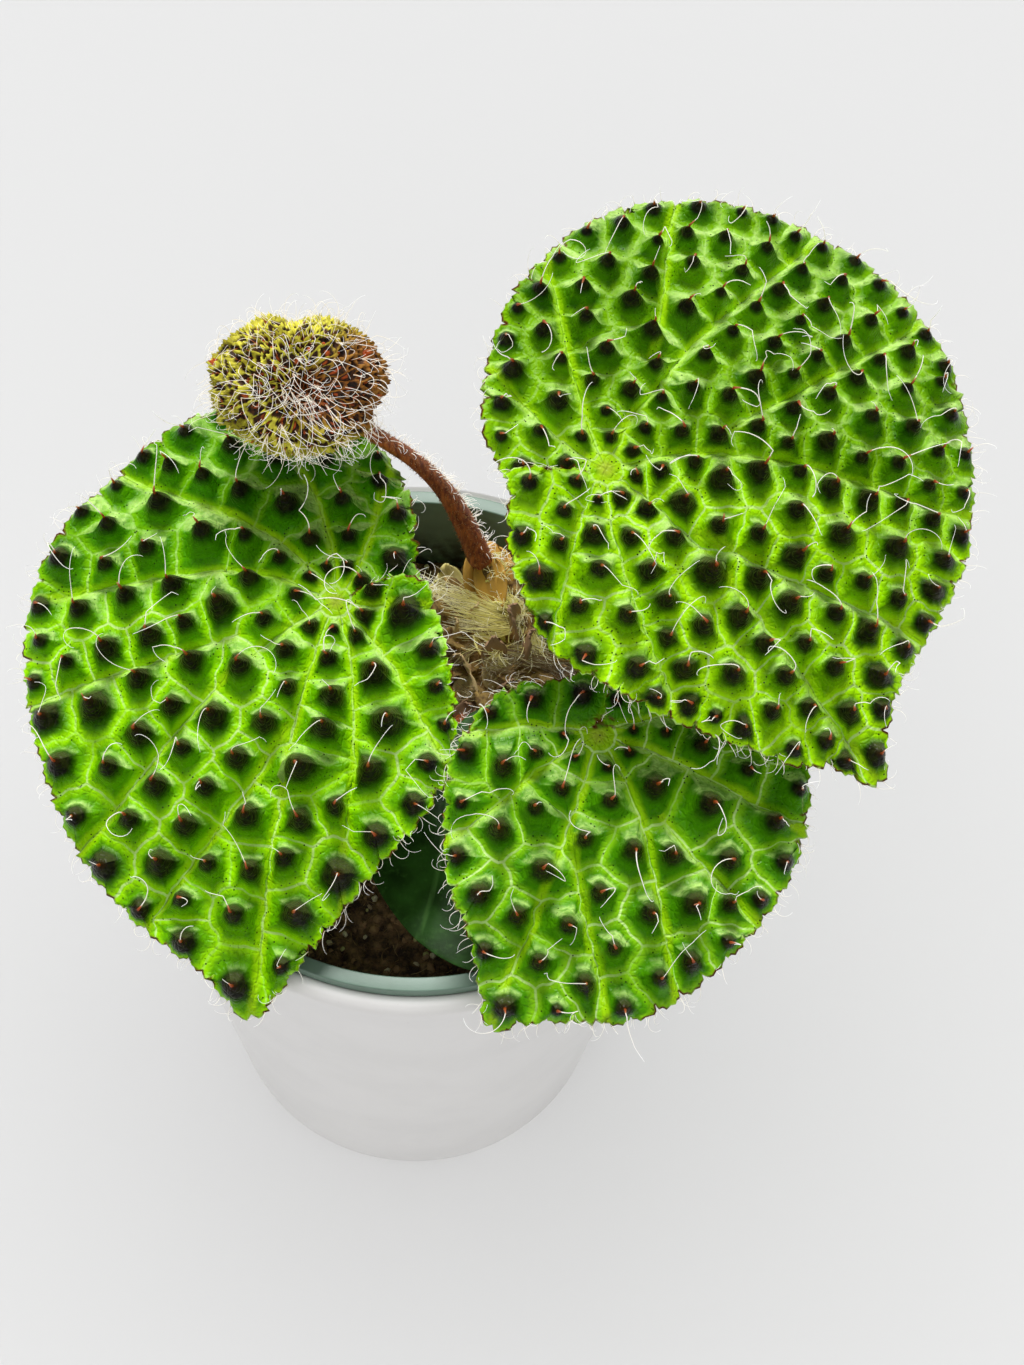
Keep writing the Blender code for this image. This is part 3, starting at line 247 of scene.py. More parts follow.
class PotSettings(bpy.types.PropertyGroup):
    """Fineness and colours of the white pot and the liner in it."""

    glaze: hue_property("Glaze", "Colour of the white pot", "#ECEAE8")
    plastic: hue_property("Liner", "Colour of the liner's plastic", "#728C7C")
    steps: count_property("Steps", "Sides of each turned shape", 160, 24)


class SoilSettings(bpy.types.PropertyGroup):
    """What lies in the pot."""

    cells: count_property("Cells", "Mesh cells across the soil", 160, 8)
    crumbs: count_property("Crumbs", "Number of soil crumbs", 2400)
    crumb_size: length_property("Crumb size", "Largest crumb", 1.5)
    fibres: count_property("Fibres", "Number of pale fibres", 320)
    bark: count_property("Bark", "Number of bark chips", 46)
    grit: count_property("Grit", "Number of pale grit grains", 150)


class LeafSettings(bpy.types.PropertyGroup):
    """Fineness and thickness of the leaves."""

    border_step: length_property("Border step", "Mesh size along the net of veins", 0.82)
    thickness: length_property("Thickness", "Thickness of a blade", 0.62)
    edge_thickness: length_property("Edge thickness", "Thickness of a blade at its edge", 0.42)


class HairSettings(bpy.types.PropertyGroup):
    """Sizes and numbers of the plant's hairs and bracts."""

    radius: length_property("Radius", "Radius of a white hair near its root", 0.19)
    tip_length: length_property("Bump hair", "Mean length of the hair on a bump", 10.0)
    fringe_hairs: count_property("Fringe hairs", "Most fine hairs at a bumpy leaf's edge", 240)
    furled_hairs: count_property("Furled leaf hairs", "Number of curly hairs on the furled leaf", 540)
    flowing_hairs: count_property("Flowing hairs", "Number of long hairs over the furled leaf's fold", 120)
    crown_tufts: count_property("Crown tufts", "Number of tufts of hair on the crown", 36, 1)
    tuft_hairs: count_property("Tuft hairs", "Number of hairs in each tuft", 34, 1)
    bracts: count_property("Bracts", "Number of bracts besides those that the photograph shows", 18, 1)


class StageSettings(bpy.types.PropertyGroup):
    """Floor and light."""

    floor: hue_property("Floor", "Colour of the floor", "#DFDFDF")
    key: light_property("Key light", "From behind, on the plant", 3.3)
    fill: light_property("Front light", "Light from the front", 0.5)
    pot: light_property("Pot light", "Light on the pot", 1.6)
    table: light_property("Table light", "Light on the floor", 1.5)
    glow: light_property("Floor glow", "Even light on the floor", 0.84)
    sky: light_property("Soft light", "Light from all round", 0.3)


def deselect_all():
    """Leave nothing selected, in object mode."""
    if bpy.context.object and bpy.context.object.mode != "OBJECT":
        bpy.ops.object.mode_set(mode="OBJECT")
    bpy.ops.object.select_all(action="DESELECT")


def start_edit(piece):
    """Go into edit mode on this piece alone, with all of it selected."""
    deselect_all()
    piece.select_set(True)
    bpy.context.view_layer.objects.active = piece
    bpy.ops.object.mode_set(mode="EDIT")
    bpy.ops.mesh.select_all(action="SELECT")


def end_edit():
    """Go back to object mode."""
    bpy.ops.object.mode_set(mode="OBJECT")


def add_numbers(mesh, numbers):
    """Give a mesh's points named numbers, which its material reads."""
    for label, values in numbers.items():
        layer = mesh.attributes.new(label, "FLOAT", "POINT")
        layer.data.foreach_set("value", np.asarray(values, dtype=np.float32))


def mesh_piece(name, points, faces, numbers=None, edges=()):
    """A smooth mesh object from points in millimetres, faces or edges, and the points' named numbers."""
    mesh = bpy.data.meshes.new(name)
    mesh.from_pydata((np.asarray(points, dtype=float) * MM).tolist(), edges, faces)
    mesh.validate()
    piece = bpy.data.objects.new(name, mesh)
    bpy.context.scene.collection.objects.link(piece)
    add_numbers(mesh, numbers or {})
    mesh.shade_smooth()
    return piece


def taken_model(piece):
    """A modelled shape's points and faces, for copies. Removes the piece."""
    points = np.array([corner.co[:] for corner in piece.data.vertices])
    faces = [tuple(face.vertices) for face in piece.data.polygons]
    bpy.data.objects.remove(piece, do_unlink=True)
    return points, faces


def finish_piece(piece, material, slot, *replaced):
    """Give a piece its material and its body, and hide the solids that it stands for. The slot is not used.
    """
    piece.data.materials.clear()
    piece.data.materials.append(bpy.data.materials[material] if isinstance(material, str) else material)
    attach(piece, "root")
    if replaced:
        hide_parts(*replaced)


def smoothstep(low, high, value):
    """0 below low, 1 above high, and a smooth ramp between. Works on numbers and arrays."""
    share = np.clip((value - low) / (high - low), 0.0, 1.0)
    return share * share * (3 - 2 * share)


def unit(vectors):
    """Vectors scaled to length 1, along the last axis."""
    lengths = np.linalg.norm(vectors, axis=-1, keepdims=True)
    return vectors / np.maximum(lengths, 1e-9)


def set_inputs(tree, node, inputs):
    """Give each of a node's inputs a value, a hex colour or another node's output."""
    for key, value in inputs.items():
        if isinstance(value, bpy.types.NodeSocket):
            tree.links.new(value, node.inputs[key])
        else:
            node.inputs[key].default_value = colour(value) if isinstance(value, str) else value


def add_node(tree, kind, inputs, **settings):
    """Add a node with its settings and its inputs."""
    node = tree.nodes.new(kind)
    for key, value in settings.items():
        setattr(node, key, value)
    set_inputs(tree, node, inputs)
    return node


def new_material(name, roughness, **sockets):
    """A material with a Principled shader. Returns it with its tree, its shader and Object coordinates."""
    material = bpy.data.materials.new(name)
    material.use_nodes = True
    tree = material.node_tree
    shader = tree.nodes["Principled BSDF"]
    set_inputs(tree, shader, {label.replace("_", " "): value for label, value in sockets.items()})
    shader.inputs["Roughness"].default_value = roughness
    place = add_node(tree, "ShaderNodeTexCoord", {}).outputs["Object"]
    return material, tree, shader, place


def patterns(tree, place, numbers=(), **grains):
    """What coats follow, by name: the mesh's own numbers, and noises from 0 to 1.

    A noise is given by the width of its features in millimetres, or by that, its detail and its roughness.
    """
    found = {}
    for name in numbers:
        found[name] = add_node(tree, "ShaderNodeAttribute", {}, attribute_name=name).outputs["Fac"]
    for name, grain in grains.items():
        size, detail, roughness = grain if isinstance(grain, tuple) else (grain, 3.0, 0.55)
        inputs = {"Vector": place, "Scale": 1 / (size * MM), "Detail": detail, "Roughness": roughness}
        found[name] = add_node(tree, "ShaderNodeTexNoise", inputs).outputs[0]
    return found


def mask(tree, found, *limits):
    """Where a coat shows, from 0 to 1: the product of its limits.

    A limit is the name of a pattern, and the two numbers between which a smooth ramp runs from 0 to 1, or
    from the third number to the fourth. A limit without numbers is the pattern as it is.
    """
    share = None
    for name, *ramp in limits:
        factor = found[name]
        if ramp:
            inputs = dict(zip((1, 2, 3, 4), ramp if len(ramp) == 4 else (*ramp, 0.0, 1.0)))
            inputs[0] = factor
            factor = add_node(tree, "ShaderNodeMapRange", inputs, interpolation_type="SMOOTHSTEP").outputs[0]
        if share:
            factor = add_node(tree, "ShaderNodeMath", {0: share, 1: factor}, operation="MULTIPLY").outputs[0]
        share = factor
    return share


def coated(tree, found, base, *coats):
    """A base colour under coats. A coat is its colour and the limits of the mask where it shows."""
    for tone, *limits in coats:
        inputs = {0: mask(tree, found, *limits), 6: base, 7: tone}
        base = add_node(tree, "ShaderNodeMix", inputs, data_type="RGBA").outputs[2]
    return base


def surface(tree, shader, base, *reliefs):
    """Give a shader its colour, and bumps laid one over another, each a height and a depth in millimetres."""
    set_inputs(tree, shader, {"Base Color": base})
    over = {}
    for height, depth in reliefs:
        inputs = {"Height": height, "Strength": 1.0, "Distance": depth * MM}
        over = {"Normal": add_node(tree, "ShaderNodeBump", inputs | over).outputs[0]}
    set_inputs(tree, shader, over)


def white_glaze():
    """Glazed earthenware: opaque white, a glass coat with a faint orange-peel wave, and a few specks."""
    settings = bpy.context.scene.begonia_pot
    material, tree, shader, place = new_material(
        "glazed earthenware", 0.32, IOR=1.5, Coat_Weight=0.35, Coat_Roughness=0.12
    )
    found = patterns(
        tree, place, cloud=26.0, speck=(0.9, 2.0, 0.55), peel=(5.0, 1.0, 0.55), fine=(0.7, 2.0, 0.55)
    )
    base = coated(
        tree, found, tuple(settings.glaze),
        ("#E7E5E3", ("cloud", 0.35, 0.7)),
        ("#CFCBC6", ("speck", 0.74, 0.8), ("cloud", 0.3, 0.6)),
    )
    surface(tree, shader, base, (found["peel"], 0.12), (found["fine"], 0.01))
    return material


def liner_plastic():
    """Injection moulded polypropylene: sage green, satin, with a fine grain, and darker in patches near the
    soil.
    """
    settings = bpy.context.scene.begonia_pot
    material, tree, shader, place = new_material("moulded polypropylene", 0.42, IOR=1.49)
    found = patterns(tree, place, dust=4.0, cloud=9.0, grain=(0.35, 2.0, 0.55))
    found["height"] = add_node(tree, "ShaderNodeSeparateXYZ", {0: place}).outputs["Z"]
    base = coated(
        tree, found, tuple(settings.plastic),
        ("#67806F", ("cloud", 0.3, 0.75)),
        # darker in patches low down, towards the soil
        ("#2A2620", ("height", 0.149, 0.136), ("dust", 0.35, 0.7)),
    )
    surface(tree, shader, base, (found["grain"], 0.02))
    return material


def peat(name, dark, light):
    """Damp peat and composted bark: near black to brown, matte, with a grain of fibres and wet glints."""
    material, tree, shader, place = new_material(name, 0.75, IOR=1.4)
    found = patterns(tree, place, ("tint",), clod=(3.2, 4.0, 0.65), grain=(0.45, 3.0, 0.7))
    base = coated(
        tree, found, dark,
        (light, ("clod", 0.35, 0.72)),
        ("#B8986A", ("grain", 0.6, 0.74)),
        ("#0B0705", ("grain", 0.38, 0.25)),
        ("#C09A6C", ("tint", 0.72, 0.74)),
        ("#FFF4CC", ("tint", 0.9, 0.92)),
    )
    set_inputs(tree, shader, {"Roughness": mask(tree, found, ("clod", 0.3, 0.6, 0.45, 0.85))})
    surface(tree, shader, base, (found["grain"], 0.35))
    return material


def plain_organic(name, codes, size, roughness, depth):
    """Dry plant matter or grit with a fine grain: two mottled colours, and more that some copies have."""
    material, tree, shader, place = new_material(name, roughness, IOR=1.45)
    tints = codes[2:]
    found = patterns(tree, place, ("tint",) if tints else (), grain=(size, 4.0, 0.6))
    shares = [1 - (number + 1) / (len(tints) + 1) for number in range(len(tints))]
    coats = [(code, ("tint", share, share - 0.02)) for code, share in zip(tints, shares)]
    base = coated(tree, found, codes[0], (codes[1], ("grain", 0.32, 0.68)), *coats)
    surface(tree, shader, base, (found["grain"], depth))
    return material


def hair_material(name, root, body, tip, dull=None, glow=0.0):
    """Plant hair: a thick coloured foot that turns into a clear, glossy thread, which lets light through.

    A tint turns some hairs dull. The glow stands in for the light that a clear hair gathers and scatters.
    """
    _, tree, shader, place = new_material(name, 0.38, IOR=1.5, Emission_Strength=glow)
    found = patterns(tree, place, ("along", "tint") if dull else ("along",))
    coats = [(body, ("along", 0.05, 0.14)), (tip, ("along", 0.45, 1.0))]
    if dull:
        coats.append((dull, ("tint", 0.2, 0.9)))
    base = coated(tree, found, root, *coats)
    set_inputs(tree, shader, {"Base Color": base, "Emission Color": base})
    through = add_node(tree, "ShaderNodeBsdfTranslucent", {"Color": base}).outputs[0]
    both = add_node(tree, "ShaderNodeMixShader", {0: 0.45, 1: shader.outputs[0], 2: through}).outputs[0]
    set_inputs(tree, tree.nodes["Material Output"], {"Surface": both})


def make_hair_materials():
    """The hairs' materials, which several pieces share."""
    hair_material("white leaf hair", "#E9DCC8", "#FAF7F0", "#FFFFFF", glow=0.4)
    hair_material("red-footed hair", "#B5622A", "#FAF4E6", "#FFFFFF", glow=0.45)
    hair_material("red hair foot", "#B24A20", "#C8683A", "#E0A27A")
    hair_material("tan felt", "#9A5A2C", "#C08A52", "#E2C99A")
    hair_material("straw hair", "#968A3C", "#ECE69C", "#FFFCE4", "#8A7450", glow=0.18)


def bumpy_leaf(name, greens, cap_to, gloss, paleness):
    """Waxy leaf skin over bumps: saturated green, a pale net, grooves on the main veins and dark olive caps.

    greens go from deep to bright. A cap fades out at cap_to, as a share of the way from a bump's tip to its
    foot. Dark pores dot the flanks, and a painted highlight lies on the flanks that face the light: pale on
    the green and lighter olive on the caps.
    """
    material, tree, shader, place = new_material(
        name, gloss, IOR=1.4, Specular_IOR_Level=0.13,
        Subsurface_Weight=0.08, Subsurface_Radius=(0.5, 1.0, 0.05), Subsurface_Scale=0.5 * MM,
    )
    numbers = ("bump", "net", "painted_highlight", "vein", "margin", "centre", "tint", "under", "front")
    found = patterns(
        tree, place, numbers, blotch=14.0, mottle=1.6, pore_fields=6.0, rust=3.0, fine=0.5
    )
    cells = {"Scale": 1 / (1.1 * MM), "Vector": place}
    found["pores"] = add_node(tree, "ShaderNodeTexVoronoi", cells).outputs["Distance"]
    cells = {"Scale": 1 / (1.5 * MM), "Vector": place}
    wrinkles = add_node(tree, "ShaderNodeTexVoronoi", cells, feature="DISTANCE_TO_EDGE")
    found["wrinkle"] = wrinkles.outputs["Distance"]
    uneven = {0: found["mottle"], 1: 0.16, 2: found["bump"]}
    found["cap"] = add_node(tree, "ShaderNodeMath", uneven, operation="MULTIPLY_ADD").outputs[0]
    pale_net = ("blotch", 0.36, 0.6, paleness * 0.2, paleness)
    olive = coated(
        tree, found, "#12140A",
        ("#262A10", ("mottle", 0.4, 0.65)),
        # painted highlight: the caps' sides that face the key light are lighter olive
        ("#5A6438", ("painted_highlight", 0.2, 1.0, 0.0, 0.5)),
        ("#2A1C0C", ("bump", 0.25, 0.08)),
    )
    base = coated(
        tree, found, greens[0],
        (greens[1], ("blotch", 0.34, 0.66)),
        (greens[2], ("front", 0.0, 1.0, 0.0, 0.7)),
        (greens[2], ("tint", 0.2, 1.0, 0.0, 0.35)),
        (greens[3], ("net", 2.0, 0.2), ("front", 0.0, 1.0, 0.35, 1.0)),
        (greens[0], ("mottle", 0.5, 0.78, 0.0, 0.45)),
        ("#AEE010", ("vein", 1.5, 0.35, 0.0, 0.75)),
        # painted highlight: pale patches on the flanks that face the key light
        ("#C6EC84", ("painted_highlight",), ("mottle", 0.36, 0.6, 0.4, 1.0), ("blotch", 0.3, 0.6, 0.35, 1.0)),
        ("#D2F59A", ("net", 0.34, 0.12), pale_net, ("front", 0.0, 0.8, 0.3, 1.0)),
        # painted shade: a dark line along the bottom of each main vein's groove
        ("#5E8C0C", ("vein", 0.2, 0.08, 0.0, 0.5)),
        ("#B8C244", ("centre", 2.4, 0.6, 0.0, 0.5)),
        ("#1F3D06", ("pores", 0.2, 0.13), ("bump", 0.6, 0.72), ("pore_fields", 0.4, 0.55)),
        ("#153C02", ("cap", cap_to + 0.27, cap_to + 0.02, 0.0, 0.9)),
        (olive, ("cap", cap_to + 0.09, cap_to - 0.05)),
        ("#A8481A", ("bump", 0.07, 0.02)),
        ("#5A2A10", ("margin", 0.7, 0.2), ("rust", 0.42, 0.58)),
        ("#7FA04A", ("under",)),
    )
    surface(tree, shader, base, (mask(tree, found, ("wrinkle", 0.0, 0.25)), 0.12), (found["fine"], 0.08))
    return material


def smooth_leaf_skin():
    """Satin leaf skin of the smooth leaf: dark green, softly mottled, with fine paler veins."""
    material, tree, shader, place = new_material("satin leaf skin", 0.5, IOR=1.4, Specular_IOR_Level=0.25)
    found = patterns(tree, place, ("vein",), blotch=(9.0, 4.0, 0.55), mottle=1.5, grain=0.7)
    base = coated(
        tree, found, "#1C3B0C",
        ("#33611F", ("blotch", 0.35, 0.7)),
        ("#46762F", ("mottle", 0.5, 0.8, 0.0, 0.5)),
        ("#5F8F45", ("vein", 0.8, 0.15, 0.0, 0.6)),
    )
    surface(tree, shader, base, (found["grain"], 0.06))
    return material


def young_leaf_skin():
    """Felted skin of the furled leaf: a lime net round dark cells with red feet, browner in its fold."""
    material, tree, shader, place = new_material("felted young leaf", 0.6, IOR=1.42)
    found = patterns(tree, place, ("net", "inner", "foot"), blotch=5.0, mottle=0.8, felt=0.45)
    lime = coated(tree, found, "#A49A06", ("#FAF250", ("blotch", 0.35, 0.65)), ("#A0581C", ("inner",)))
    brown = coated(tree, found, "#140902", ("#5A300C", ("mottle", 0.35, 0.7)))
    base = coated(
        tree, found, brown,
        (lime, ("net", 0.24, 0.12)),
        ("#5A3A14", ("mottle", 0.56, 0.72, 0.0, 0.6)),
        ("#CC5A1C", ("foot", 0.7, 0.35)),
    )
    surface(tree, shader, base, (found["felt"], 0.16))
    return material


def stalk_skin():
    """Fleshy red-brown stalk skin: fine lengthwise streaks, paler freckles and a satin shine."""
    material, tree, shader, place = new_material("red-brown stalk skin", 0.5, IOR=1.42)
    stretched = add_node(tree, "ShaderNodeMapping", {"Vector": place, "Scale": (1.0, 1.0, 0.18)}).outputs[0]
    found = patterns(tree, place, freckle=1.1)
    found |= patterns(tree, stretched, streak=(0.8, 4.0, 0.65))
    base = coated(
        tree, found, "#6E2E10",
        ("#B8652C", ("streak", 0.34, 0.66)),
        ("#C48E52", ("freckle", 0.62, 0.74, 0.0, 0.7)),
    )
    surface(tree, shader, base, (found["streak"], 0.12))
    return material


def floor_paint():
    """Matte painted board: pale grey, with a faint roller texture."""
    material, tree, shader, place = new_material("matte painted board", 0.85, Specular_IOR_Level=0.1)
    found = patterns(tree, place, roller=2.0)
    surface(tree, shader, tuple(bpy.context.scene.begonia_stage.floor), (found["roller"], 0.02))
    return material


def arc(centre, radius, start, end, count):
    """Points on an arc of a turned profile, angles in degrees from outwards, up."""
    turns = [math.radians(start + (end - start) * k / (count - 1)) for k in range(count)]
    return [(centre[0] + radius * math.cos(t), centre[1] + radius * math.sin(t)) for t in turns]


def spun(name, profile):
    """A closed shape turned round Z in edit mode from (radius, height) points in millimetres."""
    edges = [(k, k + 1) for k in range(len(profile) - 1)]
    turned = mesh_piece(name, [(r, 0.0, z) for r, z in profile], [], edges=edges)
    start_edit(turned)
    steps = bpy.context.scene.begonia_pot.steps
    bpy.ops.mesh.spin(steps=steps, angle=2 * math.pi, center=(0, 0, 0), axis=(0, 0, 1))
    bpy.ops.mesh.select_all(action="SELECT")
    bpy.ops.mesh.remove_doubles(threshold=0.01 * MM)
    bpy.ops.mesh.normals_make_consistent(inside=False)
    end_edit()
    turned.data.shade_smooth()
    turned.data.set_sharp_from_angle(angle=math.radians(50))
    return turned


def filleted(points, radii, count=5):
    """A profile whose corners are rounded: each inner point with a radius becomes a short curve."""
    found = [points[0]]
    for before, at, after, radius in zip(points, points[1:], points[2:], radii):
        a, p, b = Vector(before), Vector(at), Vector(after)
        start, end = p + (a - p).normalized() * radius, p + (b - p).normalized() * radius
        for k in range(count):
            t = k / (count - 1)
            found.append(tuple((1 - t) ** 2 * start + 2 * t * (1 - t) * p + t * t * end))
    return found + [points[-1]]


def build_pot():
    """White pot: straight taper, thick rounded lip, a flat foot ring and a shallow recess under it."""
    lip = POT_WALL / 2
    centre = (POT_RADIUS - lip, POT_HEIGHT - lip)
    lip_foot = POT_HEIGHT - POT_LIP_DEPTH
    wall_at = POT_BASE_RADIUS + (POT_RADIUS - POT_BASE_RADIUS) * lip_foot / POT_HEIGHT
    floor_radius = POT_BASE_RADIUS + (POT_RADIUS - POT_BASE_RADIUS) * POT_FLOOR / POT_HEIGHT - POT_WALL
    fillet = (POT_BASE_RADIUS - POT_BASE_FILLET, POT_BASE_FILLET)
    profile = [(0.0, POT_RECESS), (POT_RECESS_RADIUS, POT_RECESS), (POT_RECESS_RADIUS + 1.0, 0.0)]
    profile += arc(fillet, POT_BASE_FILLET, -90, 0, 10)
    profile += [(wall_at, lip_foot)] + arc(centre, lip, 0, 180, 16)
    profile += [(wall_at - POT_WALL, lip_foot), (floor_radius + 2.0, POT_FLOOR + 4.0)]
    profile += [(floor_radius - 1.0, POT_FLOOR), (0.0, POT_FLOOR)]
    finish_piece(spun("pot", profile), white_glaze(), "pot_glaze", "outer_pot")


def build_liner():
    """Thin nursery liner with a stepped, rounded lip that laps over the pot's."""
    lip_inner = LINER_RADIUS - LINER_LIP_WIDTH
    lip_foot = LINER_TOP - LINER_LIP_DEPTH
    lap = LINER_RADIUS + LINER_LIP_LAP
    corners = [
        (0.0, LINER_FOOT), (LINER_BASE_RADIUS, LINER_FOOT), (lip_inner + LINER_WALL, lip_foot),
        (LINER_RADIUS, lip_foot + 0.4), (LINER_RADIUS, POT_HEIGHT - 1.4), (lap, POT_HEIGHT - 0.3),
        (lap, LINER_TOP), (lip_inner + 0.3, LINER_TOP), (lip_inner - 0.35, LINER_TOP - 2.2),
        (LINER_BASE_RADIUS - LINER_WALL, LINER_FOOT + LINER_WALL), (0.0, LINER_FOOT + LINER_WALL),
    ]
    profile = filleted(corners, [1.0, 0.3, 0.2, 0.3, 0.2, 0.3, 0.3, 0.6, 0.8])
    finish_piece(spun("liner", profile), liner_plastic(), "liner_plastic", "nursery_liner")


def soil_height(x, y):
    """Top of the soil: the solid's gentle lumps with clods and grains on them."""
    waves = ((1.6, 0.09, 0.7), (0.96, 0.23, 4.2), (1.1, 0.42, 8.0), (0.55, 1.1, 3.0), (0.33, 2.4, 5.0))
    rises = [height * noise.noise(Vector((x * rate, y * rate, start))) for height, rate, start in waves]
    return SOIL_LEVEL + sum(rises)


def build_soil_surface():
    """Soil as a fine disc with clods and grains, closed below like the solid that it stands for."""
    cells = bpy.context.scene.begonia_soil.cells
    deselect_all()
    bpy.ops.mesh.primitive_grid_add(x_subdivisions=cells, y_subdivisions=cells, size=2.0)
    soil = bpy.context.object
    soil.name = soil.data.name = "soil_surface"
    for corner in soil.data.vertices:
        u, v = corner.co.x, corner.co.y
        x, y = u * math.sqrt(1 - v * v / 2) * SOIL_RADIUS, v * math.sqrt(1 - u * u / 2) * SOIL_RADIUS
        edge = float(smoothstep(SOIL_RADIUS - 2.5, SOIL_RADIUS, math.hypot(x, y)))
        corner.co = Vector((x, y, soil_height(x, y) - 0.8 * edge)) * MM
    start_edit(soil)
    bpy.ops.mesh.region_to_loop()
    base = (LINER_BASE_RADIUS - 2.0) / SOIL_RADIUS
    bpy.ops.mesh.extrude_region_move(TRANSFORM_OT_translate={"value": (0, 0, (SOIL_FOOT - SOIL_LEVEL) * MM)})
    bpy.ops.transform.resize(value=(base, base, 0.0), center_override=(0, 0, SOIL_FOOT * MM))
    bpy.ops.mesh.edge_face_add()
    bpy.ops.mesh.select_all(action="SELECT")
    bpy.ops.mesh.normals_make_consistent(inside=False)
    end_edit()
    soil.data.shade_smooth()
    finish_piece(soil, peat("damp peat", "#3E2C1E", "#B08C60"), "potting_soil", "soil")


def random_turns(rng, count):
    """Random rotation matrices."""
    w, x, y, z = unit(rng.normal(size=(count, 4))).T
    rows = [
        [1 - 2 * (y * y + z * z), 2 * (x * y - z * w), 2 * (x * z + y * w)],
        [2 * (x * y + z * w), 1 - 2 * (x * x + z * z), 2 * (y * z - x * w)],
        [2 * (x * z - y * w), 2 * (y * z + x * w), 1 - 2 * (x * x + y * y)],
    ]
    return np.transpose(np.array(rows), (2, 0, 1))


def lump_model(subdivisions, push, squash, seed):
    """One rough lump, modelled from a sphere in edit mode."""
    deselect_all()
    bpy.ops.mesh.primitive_ico_sphere_add(subdivisions=subdivisions, radius=1.0)
    lump = bpy.context.object
    start_edit(lump)
    bpy.ops.transform.vertex_random(offset=push, seed=seed)
    bpy.ops.transform.resize(value=squash, center_override=(0, 0, 0))
    end_edit()
    return taken_model(lump)


def copies(name, models, places, sizes, turns, tints=()):
    """Many copies of a few models, as one mesh: each copy has a place, a size, a turn and a tint."""
    points, faces, tint, total = [], [], [], 0
    for number, (place, size, turn) in enumerate(zip(places, sizes, turns)):
        shape, sides = models[number % len(models)]
        points.append((shape * size) @ turn.T + place)
        faces += [tuple(total + k for k in face) for face in sides]
        tint += [tints[number] if number < len(tints) else number * GOLDEN % 1.0] * len(shape)
        total += len(shape)
    return mesh_piece(name, np.concatenate(points), faces, {"tint": tint})


def soil_places(rng, count, sink):
    """Places on the soil, clear of the crown, each sunk a little."""
    radius = SOIL_RADIUS * np.sqrt(rng.uniform(0, 0.985, count))
    turn = rng.uniform(0, 2 * math.pi, count)
    x, y = radius * np.cos(turn), radius * np.sin(turn)
    clear = np.hypot(x - CROWN_MIDDLE.x, y - CROWN_MIDDLE.y) > CROWN_RADIUS
    return np.array([(a, b, soil_height(a, b) - sink) for a, b in zip(x[clear], y[clear])])


def build_soil_pieces():
    """Crumbs, bark chips, pale grit and fibres on the soil."""
    settings = bpy.context.scene.begonia_soil
    rng = np.random.default_rng(21)
    chunks = [lump_model(2, 0.28, (1.0, 0.85, 0.7), seed) for seed in (1, 2, 3)]
    crumbs = [lump_model(1, 0.35, (1.0, 0.8, 0.6), seed) for seed in (4, 5, 6)]

    def crumb_sizes(count):
        return settings.crumb_size / MM * rng.uniform(0.25, 1.0, count) ** 1.6 * 0.95 + 0.2

    def chip_sizes(count):
        return np.stack([rng.uniform(1.2, 3.4, count), rng.uniform(0.8, 1.8, count), np.full(count, 0.5)]).T

    def grain_sizes(count):
        return rng.uniform(0.4, 1.15, count)

    crumb_skin = peat("peat crumbs", "#5A422C", "#C8A274")
    bark = plain_organic("composted bark", ("#3A2416", "#8A6440", "#B08C60", "#DCC090"), 1.0, 0.8, 0.4)
    stone = plain_organic("pale grit", ("#E4D090", "#FFF6DC", "#DCD890", "#B89058"), 2.4, 0.7, 0.1)
    for name, models, count, sink, sizes, material in (
        ("soil_crumbs", crumbs, settings.crumbs, 0.1, crumb_sizes, crumb_skin),
        ("soil_bark", chunks, settings.bark, -0.3, chip_sizes, bark),
        ("soil_grit", chunks, settings.grit, -0.2, grain_sizes, stone),
    ):
        places = soil_places(rng, count, sink)
        lying = copies(name, models, places, sizes(len(places)), random_turns(rng, len(places)))
        if material == bark:
            lying.data.shade_flat()
        finish_piece(lying, material, "potting_soil")
    places = soil_places(rng, settings.fibres, -0.5)
    ways = unit(rng.normal(size=(len(places), 3)) * (1, 1, 0.25))
    paths = curly_paths(rng, places, ways, rng.uniform(2.5, 7.5, len(places)), 0.22, 9)
    fibres = strands("soil_fibres", paths, rng.uniform(0.07, 0.16, len(places)), 0.5)
    finish_piece(fibres, plain_organic("coir fibre", ("#8C6B42", "#C9AE7C"), 2.0, 0.8, 0.02), "potting_soil")


def curly_paths(rng, roots, ways, lengths, curl, steps, droop=0.0, kinks=0.0):
    """Paths of curly hairs, as an array of hair by point.

    curl is in radians a millimetre, droop turns a hair downwards, and kinks is the chance of a sharp bend at
    each point.
    """
    count = len(roots)
    curl = np.broadcast_to(np.asarray(curl, float), (count,))
    step = (lengths / (steps - 1))[:, None]
    way = unit(np.array(ways, float))
    axis = unit(np.cross(way, rng.normal(size=(count, 3))))
    paths = np.zeros((count, steps, 3))
    paths[:, 0] = roots
    for k in range(1, steps):
        bend = curl[:, None] * step * (0.4 + 1.2 * k / steps)
        way = unit(way + np.cross(axis, way) * bend + np.array((0, 0, -droop)) * step)
        sharp = rng.random((count, 1)) < kinks
        way = np.where(sharp, unit(way + rng.normal(size=(count, 3)) * 0.55), way)
        axis = unit(axis + rng.normal(size=(count, 3)) * 0.175)
        axis = unit(axis - way * np.sum(axis * way, axis=1, keepdims=True))
        paths[:, k] = paths[:, k - 1] + way * step
    return paths


